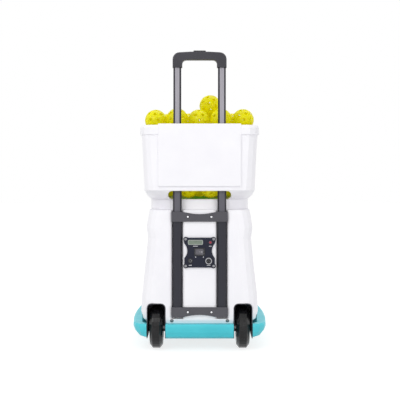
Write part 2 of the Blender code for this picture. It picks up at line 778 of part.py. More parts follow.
def tube_outline(width, depth, chamfer):
    """Rectangular tube section with chamfered edges."""
    half_width = width / 2
    half_depth = depth / 2
    quarter = [(half_width, half_depth - chamfer), (half_width - chamfer, half_depth)]
    left = [(-first, second) for first, second in reversed(quarter)]
    below = [(-first, -second) for first, second in quarter + left]
    return quarter + left + below


def handle_tube(name, x, width, depth, chamfer, foot, top, look):
    outside = shifted(tube_outline(width, depth, chamfer), x, TUBE_Y)
    bore = tube_outline(width - 2 * TUBE_WALL, depth - 2 * TUBE_WALL, chamfer - TUBE_WALL / 2)
    inside = shifted(bore, x, TUBE_Y)
    loops = [[Vector((first, second, height)) for first, second in outline]
             for outline, height in ((outside, foot), (outside, top), (inside, top), (inside, foot))]
    return loft(name, loops, look, closed=True)


def grip_outline():
    """Front view of the grip: a crowned bar on two legs."""
    half_width = GRIP_HALF_WIDTH
    leg = half_width - GRIP_LEG_WIDTH
    half = [(leg, GRIP_LEG_Z), (half_width, GRIP_LEG_Z)]
    for step in range(CORNER_STEPS + 2):
        angle = math.radians(90 * step / (CORNER_STEPS + 1))
        half.append((half_width - GRIP_OUTER_R * (1 - math.cos(angle)),
                     GRIP_TOP_Z - GRIP_CROWN - GRIP_OUTER_R * (1 - math.sin(angle))))
    half.append((half_width / 3, GRIP_TOP_Z))
    under = []
    for step in range(CORNER_STEPS + 1):
        angle = math.radians(90 * step / CORNER_STEPS)
        under.append((leg - GRIP_INNER_R * (1 - math.cos(angle)),
                      GRIP_UNDERSIDE_Z - GRIP_INNER_R * (1 - math.sin(angle))))
    right = [(first, second) for first, second in reversed(under)] + half
    return right + [(-first, second) for first, second in reversed(right)]


def handle_grip():
    grip = prism("handle_grip", grip_outline(), "Y", TUBE_Y - GRIP_DEPTH / 2, TUBE_Y + GRIP_DEPTH / 2,
                 GRIP_PLASTIC, GRIP_EDGE_R)
    socket = tube_outline(TOP_TUBE_WIDTH + 2 * GAP, TOP_TUBE_DEPTH + 2 * GAP, TUBE_CHAMFER / 2)
    for side, x in (("left", -TUBE_X), ("right", TUBE_X)):
        cut(grip, prism(side + "_grip_socket", shifted(socket, x, TUBE_Y), "Z", GRIP_LEG_Z - REACH,
                        GRIP_LEG_Z + GRIP_SOCKET_DEPTH + GAP))
    pocket_depth = BUTTON_HEIGHT - BUTTON_RISE + BUTTON_TRAVEL + 2 * GAP
    pocket = box("button_pocket",
                 (-BUTTON_WIDTH / 2 - GAP, TUBE_Y - BUTTON_DEPTH / 2 - GAP, GRIP_TOP_Z - pocket_depth),
                 (BUTTON_WIDTH / 2 + GAP, TUBE_Y + BUTTON_DEPTH / 2 + GAP, GRIP_TOP_Z + REACH))
    return cut(grip, pocket)


def release_button():
    top = GRIP_TOP_Z + BUTTON_RISE
    return box("release_button", (-BUTTON_WIDTH / 2, TUBE_Y - BUTTON_DEPTH / 2, top - BUTTON_HEIGHT),
               (BUTTON_WIDTH / 2, TUBE_Y + BUTTON_DEPTH / 2, top), BLACK_PLASTIC, 0.0015)


def tube_bracket(name, foot, dish_at_top):
    """A plate across the centre lobe with a sleeve round each outer tube, and one dished edge."""
    rear = TUBE_Y - OUTER_TUBE_DEPTH / 2 - GAP - BRACKET_WALL
    front = GROOVE_FLOOR_Y - GAP
    reach = TUBE_X + OUTER_TUBE_WIDTH / 2 + GAP + BRACKET_WALL / 2
    half_plate = TUBE_X - OUTER_TUBE_WIDTH / 2 - GAP
    near_edge = []
    for step in range(9):
        share = step / 8
        near_edge.append((half_plate * (2 * share - 1), BRACKET_DISH * math.sin(math.pi * share)))
    outline = [(-reach, 0), (reach, 0), (reach, BRACKET_HEIGHT)]
    outline += [(first, BRACKET_HEIGHT - dip) for first, dip in reversed(near_edge)]
    outline.append((-reach, BRACKET_HEIGHT))
    if not dish_at_top:
        outline = [(first, BRACKET_HEIGHT - second) for first, second in outline]
    plate = prism(name, shifted(outline, 0, foot), "Y", rear, BODY_REAR_Y - GAP, GRIP_PLASTIC)
    for side, x in (("left", -TUBE_X), ("right", TUBE_X)):
        block_reach = GROOVE_HALF_WIDTH - GAP
        block = box(f"{name}_{side}_block", (x - block_reach, rear + GAP, foot),
                    (x + block_reach, front, foot + BRACKET_HEIGHT))
        join(plate, block)
    bore = tube_outline(OUTER_TUBE_WIDTH + 2 * GAP, OUTER_TUBE_DEPTH + 2 * GAP, TUBE_CHAMFER)
    for side, x in (("left", -TUBE_X), ("right", TUBE_X)):
        cut(plate, prism(f"{name}_{side}_bore", shifted(bore, x, TUBE_Y), "Z", foot - REACH,
                         foot + BRACKET_HEIGHT + REACH))
    return plate


# Control panel and its fittings

def panel_hole(name, outline, depth):
    return prism(name, outline, "Y", PANEL_FACE_Y - REACH, PANEL_FACE_Y + depth)


def panel_outline():
    """A square plate with a round ear at each corner and a shallow arc cut from each side."""
    arc_r = (PANEL_CUTOUT_HALF_HEIGHT ** 2 + PANEL_CUTOUT_DEPTH ** 2) / (2 * PANEL_CUTOUT_DEPTH)
    spread = math.asin(PANEL_CUTOUT_HALF_HEIGHT / arc_r)
    side = [(PANEL_HALF_WIDTH, -PANEL_EAR_RISE + PANEL_EAR_R)]
    for step in range(9):
        angle = spread * (step / 4 - 1)
        side.append((PANEL_HALF_WIDTH - PANEL_CUTOUT_DEPTH + arc_r * (1 - math.cos(angle)),
                     PANEL_CUTOUT_RISE + arc_r * math.sin(angle)))
    ear = []
    for degrees in (-15, 15, 45, 75, 105):
        angle = math.radians(degrees)
        ear.append((PANEL_EAR_X + PANEL_EAR_R * math.cos(angle),
                    PANEL_EAR_RISE + PANEL_EAR_R * math.sin(angle)))
    upper = ear + [(PANEL_EAR_X - 1.2 * PANEL_EAR_R, PANEL_HALF_HEIGHT)]
    lower = [(first, -second) for first, second in reversed(upper)]
    right = lower + side + upper
    return right + [(-first, second) for first, second in reversed(right)]


def control_panel():
    plate = prism("control_panel", shifted(panel_outline(), 0, PANEL_Z), "Y", PANEL_FACE_Y, PANEL_BACK_Y,
                  NAVY_PLASTIC)
    display = rounded(DISPLAY_WIDTH / 2 + GAP, -DISPLAY_HEIGHT / 2 - GAP, DISPLAY_HEIGHT / 2 + GAP, 0.001, 1)
    cut(plate, panel_hole("display_pocket", shifted(display, DISPLAY_X, DISPLAY_Z), DISPLAY_DEPTH + GAP))
    rocker = rounded(ROCKER_HALF_WIDTH + 2 * ROCKER_SIDE_GAP, -ROCKER_HALF_HEIGHT - ROCKER_SIDE_GAP,
                     ROCKER_HALF_HEIGHT + ROCKER_SIDE_GAP, 0.001, 1)
    cut(plate, panel_hole("rocker_hole", shifted(rocker, ROCKER_X, ROCKER_Z), PANEL_THICKNESS + OVERLAP))
    for name, x, z, radius in (("mode", MODE_X, MODE_Z, MODE_R), ("remote", REMOTE_X, REMOTE_Z, REMOTE_R),
                               ("inlet", INLET_X, INLET_Z, INLET_R)):
        cut(plate, rod(name + "_hole", "Y", (x, PANEL_FACE_Y, z), radius + GAP, -REACH, REACH, SIDES_SMALL))
    return plate


def display_window():
    outline = rounded(DISPLAY_WIDTH / 2, -DISPLAY_HEIGHT / 2, DISPLAY_HEIGHT / 2, 0.001, 1)
    return prism("display_window", shifted(outline, DISPLAY_X, DISPLAY_Z), "Y", PANEL_FACE_Y,
                 PANEL_FACE_Y + DISPLAY_DEPTH, DISPLAY_GLASS)


def rocker_bezel():
    outline = rounded(ROCKER_BEZEL_WIDTH / 2, -ROCKER_BEZEL_HEIGHT / 2, ROCKER_BEZEL_HEIGHT / 2, 0.003, 2)
    ring = prism("rocker_bezel", shifted(outline, ROCKER_X, ROCKER_Z), "Y", PANEL_FACE_Y - ROCKER_BEZEL_RISE,
                 PANEL_FACE_Y - GAP, BLACK_PLASTIC)
    hole = rounded(ROCKER_HALF_WIDTH + ROCKER_SIDE_GAP, -ROCKER_HALF_HEIGHT - GAP, ROCKER_HALF_HEIGHT + GAP,
                   0.001, 1)
    return cut(ring, panel_hole("bezel_window", shifted(hole, ROCKER_X, ROCKER_Z), REACH))


def rocker_pivot():
    return Vector((ROCKER_X, PANEL_BACK_Y - ROCKER_PIVOT_DEPTH, ROCKER_Z))


def power_rocker():
    """A shallow vee seen from above, stored with its left side pressed."""
    pivot = rocker_pivot()
    tilt = Matrix.Rotation(math.radians(-ROCKER_HALF_ANGLE), 3, "Z")
    vee = (
        (-ROCKER_HALF_WIDTH, -ROCKER_BACK),
        (ROCKER_HALF_WIDTH, -ROCKER_BACK),
        (ROCKER_HALF_WIDTH, -ROCKER_END),
        (0, -ROCKER_MIDDLE),
        (-ROCKER_HALF_WIDTH, -ROCKER_END),
    )
    outline = []
    for first, second in vee:
        turned_point = tilt @ Vector((first, second, 0))
        outline.append((pivot.x + turned_point.x, pivot.y + turned_point.y))
    return prism("power_rocker", outline, "Z", pivot.z - ROCKER_HALF_HEIGHT, pivot.z + ROCKER_HALF_HEIGHT,
                 GRIP_PLASTIC)


def mode_button():
    face = PANEL_FACE_Y - MODE_RISE
    back = PANEL_BACK_Y - MODE_TRAVEL - GAP
    profile = ((MODE_R, back), (MODE_R, face + 0.0008), (MODE_R - 0.0008, face))
    return turned("mode_button", profile, "Y", (MODE_X, 0, MODE_Z), SIDES_SMALL, RED_PLASTIC)


def panel_socket(name, x, z, radius, bore_r, look):
    """A round socket through the panel: a flange on the face and a blind bore."""
    face = PANEL_FACE_Y - SOCKET_RISE
    flange_back = PANEL_FACE_Y - GAP
    back = PANEL_BACK_Y
    profile = (
        (radius, back),
        (radius, flange_back),
        (radius + SOCKET_FLANGE, flange_back),
        (radius + SOCKET_FLANGE, face + 0.001),
        (radius, face),
        (bore_r, face),
        (bore_r, back - SOCKET_FLOOR),
    )
    return turned(name, profile, "Y", (x, 0, z), SIDES_SMALL, look)


def battery():
    floor = TRAY_BOTTOM_Z + TRAY_FLOOR + GAP
    front = BATTERY_REAR_Y + BATTERY_DEPTH
    top = floor + BATTERY_HEIGHT
    case = box("battery", (-BATTERY_WIDTH / 2, BATTERY_REAR_Y, floor), (BATTERY_WIDTH / 2, front, top),
               BLACK_PLASTIC, 0.002)
    terminal_x = BATTERY_WIDTH / 2 - 2 * TERMINAL
    for name, x in (("minus_terminal", -terminal_x), ("plus_terminal", terminal_x)):
        join(case, box(name, (x - TERMINAL / 2, front - 2 * TERMINAL, top - OVERLAP),
                       (x + TERMINAL / 2, front - TERMINAL, top + TERMINAL / 2)))
    return case


def control_board():
    """A bare board on four posts that reach the rear wall behind the panel."""
    wall = BODY_REAR_Y + BODY_WALL + GAP
    rear = wall + BOARD_STANDOFF
    half_width = BOARD_WIDTH / 2
    board = box("control_board", (-half_width, rear, BOARD_Z - BOARD_HEIGHT / 2),
                (half_width, rear + BOARD_THICKNESS, BOARD_Z + BOARD_HEIGHT / 2), BOARD_GREEN)
    for side in (-1, 1):
        for level in (-1, 1):
            place = (side * (half_width - BOARD_POST_INSET), 0,
                     BOARD_Z + level * (BOARD_HEIGHT / 2 - BOARD_POST_INSET))
            join(board, rod(f"board_post_{side}_{level}", "Y", place, BOARD_POST_R, wall,
                            rear + BOARD_THICKNESS / 2, 8))
    relay_low = (-RELAY_SHIFT - RELAY_WIDTH / 2, rear + BOARD_THICKNESS / 2,
                 BOARD_Z - RELAY_SHIFT - RELAY_HEIGHT / 2)
    relay_high = (-RELAY_SHIFT + RELAY_WIDTH / 2, rear + BOARD_THICKNESS + RELAY_DEPTH,
                  BOARD_Z - RELAY_SHIFT + RELAY_HEIGHT / 2)
    join(board, box("board_relay", relay_low, relay_high))
    return board


# Hopper

def mix(first, second, share):
    return tuple(one + (other - one) * share for one, other in zip(first, second))


def throat():
    """The round throat over the feeder, as a section whose flats touch the throat's circle."""
    radius = THROAT_R / math.cos(math.pi / (4 * CORNER_STEPS))
    return radius, FEEDER_Y - radius, FEEDER_Y + radius, radius


def hopper_neck():
    """The collar round the feeder that the bin stands on."""
    heights = (HOPPER_FOOT_Z, NECK_TOP_Z)
    loops = [section(height, *NECK_OUTSIDE) for height in heights]
    loops += [section(height, *throat()) for height in reversed(heights)]
    return loft("hopper_neck", loops, WHITE_PLASTIC, closed=True)


def hopper_inside():
    """Inside sections from the rim down: the walls, the funnel and the round throat over the feeder."""
    walls = [inset(size, HOPPER_WALL) for size in HOPPER_OUTSIDE if FUNNEL_TOP_Z < size[0] < RIM_FOOT_Z]
    lip = (RIM_TOP_Z, *walls[-1][1:])
    shoulder = inset(HOPPER_OUTSIDE[2], HOPPER_WALL)
    funnel_top = (FUNNEL_TOP_Z, *shoulder[1:])
    return [lip] + walls[::-1] + [funnel_top, (FUNNEL_FOOT_Z, *throat()), (NECK_TOP_Z + GAP, *throat())]


def hopper():
    inside = hopper_inside()
    loops = [section(*size) for size in HOPPER_OUTSIDE] + [section(*size) for size in inside]
    bin_wall = loft("hopper", loops, WHITE_PLASTIC, closed=True)
    panel = box("hopper_rear_panel",
                (-REAR_PANEL_HALF_WIDTH, HOPPER_REAR_Y - REAR_PANEL_PROUD, REAR_PANEL_FOOT_Z),
                (REAR_PANEL_HALF_WIDTH, HOPPER_REAR_Y + HOPPER_WALL / 2, REAR_PANEL_TOP_Z), None, 0.0015)
    join(bin_wall, panel)
    passage = prism("handle_passage",
                    rounded(SLOT_HALF_WIDTH, HOPPER_REAR_Y + HOPPER_WALL + GAP, NECK_REAR_Y - 2 * GAP,
                            SLOT_END_R),
                    "Z", NECK_TOP_Z - REACH, FUNNEL_TOP_Z + REACH)
    window = prism("slot_window", rounded(SLOT_HALF_WIDTH, SLOT_FOOT_Z, SLOT_TOP_Z, SLOT_END_R), "Y",
                   HOPPER_REAR_Y - REACH, NECK_REAR_Y + REACH)
    return cut(bin_wall, passage, window)


# Ball load

def ball_shape(centre):
    shape = bmesh.new()
    bmesh.ops.create_icosphere(shape, subdivisions=BALL_FACETS, radius=BALL_R)
    bmesh.ops.translate(shape, verts=shape.verts, vec=centre)
    return shape


def lump(name, centre):
    """The upper half of a ball in the heap, whose lowest ring lies inside the solid below."""
    profile = []
    for degrees in LUMP_RINGS:
        angle = math.radians(degrees)
        profile.append((BALL_R * math.cos(angle), centre.z + BALL_R * math.sin(angle)))
    profile.append((BALL_R / 10, centre.z + BALL_R))
    return turned(name, profile, "Z", (centre.x, centre.y, 0), LUMP_SIDES)


def fill_grid():
    """Centres of the balls in the top full layers: one layer at the rear, the next one down at the front."""
    centres = []
    for row in range(REAR_ROWS + FRONT_ROWS):
        height = FILL_LAYER_Z if row < REAR_ROWS else FILL_LAYER_Z - LAYER_RISE
        y = FILL_REAR_Y + BALL_R + row * BALL_PITCH
        for column in range(BALL_COLUMNS):
            centres.append(Vector(((column - (BALL_COLUMNS - 1) / 2) * BALL_PITCH, y, height)))
    return centres


def fill_section(height, rear, margin, front=None):
    """A section of the hopper's inside, drawn in by a margin, and stopped at a rear and a front plane."""
    inside = hopper_inside()
    for upper, lower in zip(inside, inside[1:]):
        if lower[0] <= height <= upper[0] and upper[0] > lower[0]:
            share = (height - lower[0]) / (upper[0] - lower[0])
            size = inset(mix(lower, upper, share), margin)
            break
    rear = max(rear, size[2])
    front = size[3] if front is None else min(front, size[3])
    radius = min(size[4], (front - rear) / 2)
    return section(height, size[1], rear, front, radius)


def ball_heap():
    """The lower balls as one lumped solid in the funnel, which shows balls on top and at the slot."""
    rear_row_y = FILL_REAR_Y + BALL_R
    step_y = FILL_REAR_Y + REAR_ROWS * BALL_PITCH - GAP / 2
    rear_z = FILL_LAYER_Z + HEAP_RISE
    front_z = rear_z - LAYER_RISE
    knee = rear_z - 2.5 * LAYER_RISE
    slot_y = rear_row_y + SLOT_BALL_PROUD
    low = FILL_SIDE_GAP
    middle = 2 * FILL_SIDE_GAP
    high = 3 * FILL_SIDE_GAP
    heap = loft("ball_heap", [fill_section(FILL_FOOT_Z, slot_y, low), fill_section(FUNNEL_TOP_Z, slot_y, low),
                              fill_section(knee, slot_y, low)], BALL_YELLOW)
    join(heap, loft("heap_middle", [fill_section(knee - OVERLAP, FILL_REAR_Y, middle),
                                    fill_section(front_z, FILL_REAR_Y, middle)]))
    join(heap, loft("heap_rear", [fill_section(front_z - OVERLAP, FILL_REAR_Y + low, high, step_y),
                                  fill_section(rear_z, FILL_REAR_Y + low, high, step_y)]))
    for number, centre in enumerate(fill_grid()):
        join(heap, lump(f"heap_ball_{number}", centre))
    slot_row_z = FILL_LAYER_Z - 3 * LAYER_RISE
    for number, (x, rise) in enumerate(((-1.47, 0.022), (-0.5, 0), (0.5, 0), (1.47, 0.022))):
        join(heap, finish(ball_shape(Vector((x * BALL_PITCH, rear_row_y, slot_row_z + rise))),
                          f"slot_ball_{number}"))
    return heap


def loose_ball_tree(centre):
    shape = ball_shape(centre)
    tree = BVHTree.FromBMesh(shape)
    shape.free()
    return tree


def lump_tree(centre):
    tool = lump("lump_to_test", centre)
    tree = BVHTree.FromPolygons([corner.co for corner in tool.data.vertices],
                                [face.vertices for face in tool.data.polygons])
    bpy.data.objects.remove(tool)
    return tree


def settle(x, y, seats):
    """Centre of a ball that comes down at a plan position until its facets meet those of a ball below."""
    near = [(centre, tree) for centre, tree in seats if math.hypot(x - centre.x, y - centre.y) < BALL_PITCH]
    height = max(centre.z for centre, tree in near) + BALL_PITCH
    while height > FILL_FOOT_Z:
        lower = loose_ball_tree(Vector((x, y, height - GAP)))
        if any(lower.overlap(tree) for centre, tree in near):
            break
        height -= GAP
    return Vector((x, y, height + GAP / 2))


def loose_balls():
    seats = [(centre, lump_tree(centre)) for centre in fill_grid()]
    pieces = []
    for name, (x, y) in LOOSE_BALLS.items():
        centre = settle(x, y, seats)
        seats.append((centre, loose_ball_tree(centre)))
        pieces.append(finish(ball_shape(centre), name, BALL_YELLOW))
    return pieces


# Feeder and its drive

def pocket_outline(angle):
    """A half round round the ball, opened straight out past the rim of the wheel."""
    out = Vector((math.cos(angle), math.sin(angle)))
    side = Vector((-out.y, out.x))
    centre = Vector((0, FEEDER_Y)) + out * POCKET_RADIUS
    points = [centre + side * POCKET_R + out * REACH, centre - side * POCKET_R + out * REACH]
    for step in range(SIDES // 2 + 1):
        turn = math.pi * step / (SIDES // 2)
        points.append(centre - side * POCKET_R * math.cos(turn) - out * POCKET_R * math.sin(turn))
    return [(point.x, point.y) for point in reversed(points)]


def feeder_disc():
    """A star wheel whose open pockets push the balls round the throat, on a shaft through the deck."""
    foot = BODY_TOP_Z + GAP
    top = foot + FEEDER_THICKNESS
    centre = (0, FEEDER_Y, 0)
    disc = rod("feeder_disc", "Z", centre, FEEDER_R, foot, top, SIDES_LARGE, TEAL_PLASTIC)
    cone = ((FEEDER_HUB_R, top - OVERLAP), (FEEDER_HUB_R, top), (FEEDER_HUB_R / 3, top + FEEDER_HUB_RISE))
    join(disc, turned("feeder_cone", cone, "Z", centre, SIDES),
         rod("feeder_shaft", "Z", centre, FEEDER_SHAFT_R, GEAR_TOP_Z - GEAR_WIDTH, foot + OVERLAP,
             SIDES_SMALL))
    for pocket in range(POCKETS):
        angle = math.tau * pocket / POCKETS - math.pi / 2
        cut(disc, prism(f"pocket_{pocket}", pocket_outline(angle), "Z", foot - REACH, top + REACH))
    return disc


def gear_outline(teeth, first_tooth, root_share, tip_share):
    """A spur gear's outline, with straight flanks from root to tip."""
    pitch_r = GEAR_MODULE * teeth / 2
    flank = (
        (pitch_r - GEAR_DEDENDUM * GEAR_MODULE, root_share * GEAR_MODULE - GEAR_BACKLASH),
        (pitch_r + GEAR_ADDENDUM * GEAR_MODULE, tip_share * GEAR_MODULE - GEAR_BACKLASH),
    )
    points = []
    for tooth in range(teeth):
        centre = first_tooth + math.tau * tooth / teeth
        rising = [(radius, centre - half_tooth / radius) for radius, half_tooth in flank]
        falling = [(radius, centre + half_tooth / radius) for radius, half_tooth in reversed(flank)]
        points += [(radius * math.cos(angle), radius * math.sin(angle)) for radius, angle in rising + falling]
    return points


def gear_centre_distance():
    return GEAR_MODULE * (GEAR_TEETH + PINION_TEETH) / 2


def feeder_gear():
    outline = shifted(gear_outline(GEAR_TEETH, math.pi, 1.15, 0.42), 0, FEEDER_Y)
    gear = prism("feeder_gear", outline, "Z", GEAR_TOP_Z - GEAR_WIDTH, GEAR_TOP_Z, GEAR_NYLON)
    bore = rod("gear_bore", "Z", (0, FEEDER_Y, GEAR_TOP_Z), FEEDER_SHAFT_R + GAP, -REACH, REACH, SIDES_SMALL)
    return cut(gear, bore)


def feed_pinion():
    x = -gear_centre_distance()
    outline = shifted(gear_outline(PINION_TEETH, math.pi / PINION_TEETH, 0.95, 0.40), x, FEEDER_Y)
    pinion = prism("feed_pinion", outline, "Z", GEAR_TOP_Z - GEAR_WIDTH, GEAR_TOP_Z, STEEL)
    bore = rod("pinion_bore", "Z", (x, FEEDER_Y, GEAR_TOP_Z), PINION_SHAFT_R + GAP, -REACH, REACH,
               SIDES_SMALL)
    return cut(pinion, bore)


def feed_motor():
    """A gearmotor under the deck, with its shaft up through the pinion and three posts to the deck."""
    x = -gear_centre_distance()
    flange_foot = FEED_FLANGE_TOP_Z - FEED_FLANGE
    profile = (
        (FEED_MOTOR_R, flange_foot - FEED_MOTOR_LENGTH),
        (FEED_MOTOR_R, flange_foot),
        (FEED_FLANGE_R, flange_foot),
        (FEED_FLANGE_R, FEED_FLANGE_TOP_Z),
        (PINION_SHAFT_R, FEED_FLANGE_TOP_Z),
        (PINION_SHAFT_R, GEAR_TOP_Z + GAP),
    )
    motor = turned("feed_motor", profile, "Z", (x, FEEDER_Y, 0), SIDES, STEEL)
    reach = FEED_FLANGE_R - FEED_POST_R
    for number, degrees in enumerate((110, 180, 250)):
        angle = math.radians(degrees)
        place = (x + reach * math.cos(angle), FEEDER_Y + reach * math.sin(angle), 0)
        join(motor, rod(f"feed_post_{number}", "Z", place, FEED_POST_R, FEED_FLANGE_TOP_Z - FEED_FLANGE / 2,
                        BODY_TOP_Z - BODY_DECK - GAP, 8))
    return motor


def ball_chute():
    """A round elbow from under the drop hole to the launcher's trough."""
    start_y = FEEDER_Y - POCKET_RADIUS
    top = BODY_TOP_Z - BODY_DECK - GAP
    bend_z = LAUNCHER_Z + CHUTE_BEND_R
    path = [(start_y, top, 0)]
    for step in range(6):
        angle = 90 * step / 5
        path.append((start_y + CHUTE_BEND_R * (1 - math.cos(math.radians(angle))),
                     bend_z - CHUTE_BEND_R * math.sin(math.radians(angle)), angle))
    path.append((CHUTE_END_Y, LAUNCHER_Z, 90))

    def pipe(radius):
        loops = []
        for y, z, angle in path:
            across = Vector((1, 0, 0))
            up = Vector((0, math.cos(math.radians(angle)), math.sin(math.radians(angle))))
            loops.append([Vector((0, y, z)) + radius * (across * math.cos(turn) + up * math.sin(turn))
                          for turn in (math.tau * side / SIDES for side in range(SIDES))])
        return loops

    loops = pipe(CHUTE_BORE_R + CHUTE_WALL) + list(reversed(pipe(CHUTE_BORE_R)))
    return loft("ball_chute", loops, BLACK_PLASTIC, closed=True)


# Launcher

def yaw_pedestal():
    floor = TRAY_BOTTOM_Z + TRAY_FLOOR + GAP
    profile = (
        (PEDESTAL_R, floor),
        (PEDESTAL_R * 0.8, YOKE_BASE_Z - GAP),
        (PEDESTAL_SPIGOT_R, YOKE_BASE_Z - GAP),
        (PEDESTAL_SPIGOT_R, YOKE_BASE_Z + YOKE_SHEET),
    )
    return turned("yaw_pedestal", profile, "Z", (0, LAUNCHER_Y, 0), SIDES, ALUMINIUM)


def launcher_yoke():
    """A sheet folded into a U, with a hole for the spigot and one in each cheek for a trunnion."""
    outside = YOKE_X + YOKE_SHEET
    floor = YOKE_BASE_Z + YOKE_SHEET
    right = [(outside, YOKE_BASE_Z), (outside, YOKE_HEAD_Z), (YOKE_X, YOKE_HEAD_Z), (YOKE_X, floor)]
    outline = right + [(-first, second) for first, second in reversed(right)]
    yoke = prism("launcher_yoke", outline, "Y", LAUNCHER_Y - YOKE_HALF_DEPTH, LAUNCHER_Y + YOKE_HALF_DEPTH,
                 STEEL)
    spigot_hole = rod("spigot_hole", "Z", (0, LAUNCHER_Y, YOKE_BASE_Z), PEDESTAL_SPIGOT_R + GAP,
                      -REACH, REACH, SIDES)
    trunnion_hole = rod("trunnion_hole", "X", (0, LAUNCHER_Y, LAUNCHER_Z), TRUNNION_R + GAP, -2 * outside,
                        2 * outside, SIDES_SMALL)
    return cut(yoke, spigot_hole, trunnion_hole)


def plate_outline():
    """Side plate seen from the side: a wide middle with a narrow arm up and down to the wheels."""
    quarter = [
        (PLATE_MIDDLE_HALF_DEPTH, 0.7 * PLATE_MIDDLE_HALF_HEIGHT),
        (PLATE_ARM, 1.2 * PLATE_MIDDLE_HALF_HEIGHT),
        (PLATE_ARM, PLATE_HALF_HEIGHT - PLATE_ARM / 2),
        (PLATE_ARM / 2, PLATE_HALF_HEIGHT),
    ]
    upper = quarter + [(-first, second) for first, second in reversed(quarter)]
    lower = [(-first, -second) for first, second in upper]
    return shifted(upper + lower, LAUNCHER_Y, LAUNCHER_Z)


def launcher_cradle():
    """Two side plates tied by three spacers and the ball trough, with a trunnion on each plate."""
    outer_face = PLATE_X + PLATE_THICKNESS
    cradle = prism("launcher_cradle", plate_outline(), "X", PLATE_X, outer_face, ALUMINIUM)
    join(cradle, prism("left_cradle_plate", plate_outline(), "X", -outer_face, -PLATE_X))
    reach = PLATE_MIDDLE_HALF_DEPTH - 2 * SPACER_R
    rise = PLATE_MIDDLE_HALF_HEIGHT * 0.7 + SPACER_R
    tie_reach = PLATE_X + PLATE_THICKNESS / 2
    for number, (first, second) in enumerate(((reach, rise), (reach, -rise), (-reach, rise))):
        place = (0, LAUNCHER_Y + first, LAUNCHER_Z + second)
        join(cradle, rod(f"spacer_{number}", "X", place, SPACER_R, -tie_reach, tie_reach, 8))
    arc = [math.radians(180 + 180 * step / 8) for step in range(9)]
    outer_r = TROUGH_R + TROUGH_WALL
    outline = [(outer_r * math.cos(a), LAUNCHER_Z + outer_r * math.sin(a)) for a in arc]
    outline += [(TROUGH_R * math.cos(a), LAUNCHER_Z + TROUGH_R * math.sin(a)) for a in reversed(arc)]
    join(cradle, prism("ball_trough", outline, "Y", TROUGH_REAR_Y, TROUGH_FRONT_Y))
    trunnion_end = YOKE_X + YOKE_SHEET
    for side, near, far in (("left", -trunnion_end, -tie_reach), ("right", tie_reach, trunnion_end)):
        join(cradle, rod(side + "_trunnion", "X", (0, LAUNCHER_Y, LAUNCHER_Z), TRUNNION_R, near, far,
                         SIDES_SMALL))
    for name, rise in (("upper", LAUNCH_WHEEL_RISE), ("lower", -LAUNCH_WHEEL_RISE)):
        cut(cradle, rod(name + "_shaft_hole", "X", (0, LAUNCHER_Y, LAUNCHER_Z + rise), MOTOR_SHAFT_R + GAP,
                        -2 * outer_face, 2 * outer_face, SIDES_SMALL))
    return cradle


def launch_motor(name, rise):
    near = PLATE_X + PLATE_THICKNESS + GAP
    profile = (
        (MOTOR_SHAFT_R, -PLATE_X - PLATE_THICKNESS),
        (MOTOR_SHAFT_R, near),
        (MOTOR_R, near),
        (MOTOR_R, near + MOTOR_LENGTH - 0.003),
        (MOTOR_R - 0.003, near + MOTOR_LENGTH),
    )
    return turned(name, profile, "X", (0, LAUNCHER_Y, LAUNCHER_Z + rise), SIDES, STEEL)


def launch_wheel(name, rise):
    half_width = LAUNCH_WHEEL_WIDTH / 2
    boss = PLATE_X - 2 * GAP
    right = (
        (MOTOR_SHAFT_R + GAP, boss),
        (LAUNCH_BOSS_R, boss),
        (LAUNCH_BOSS_R, LAUNCH_WEB / 2),
        (LAUNCH_HUB_R - LAUNCH_RIM_WALL, LAUNCH_WEB / 2),
        (LAUNCH_HUB_R, half_width),
    )
    left = [(radius, -distance) for radius, distance in reversed(right)]
    return turned(name, list(right) + left, "X", (0, LAUNCHER_Y, LAUNCHER_Z + rise), SIDES, BLACK_PLASTIC,
                  closed=True)


def launch_tyre(name, rise):
    """A thick foam-rubber ring with a dished tread, which grips the ball."""
    half_width = LAUNCH_WHEEL_WIDTH / 2
    inside = LAUNCH_HUB_R + GAP
    outside = LAUNCH_WHEEL_D / 2
    profile = ((inside, -half_width), (outside, -half_width), (outside - 0.002, 0), (outside, half_width),
               (inside, half_width))
    return turned(name, profile, "X", (0, LAUNCHER_Y, LAUNCHER_Z + rise), SIDES_LARGE, SOFT_RUBBER,
                  closed=True)


# Assembly

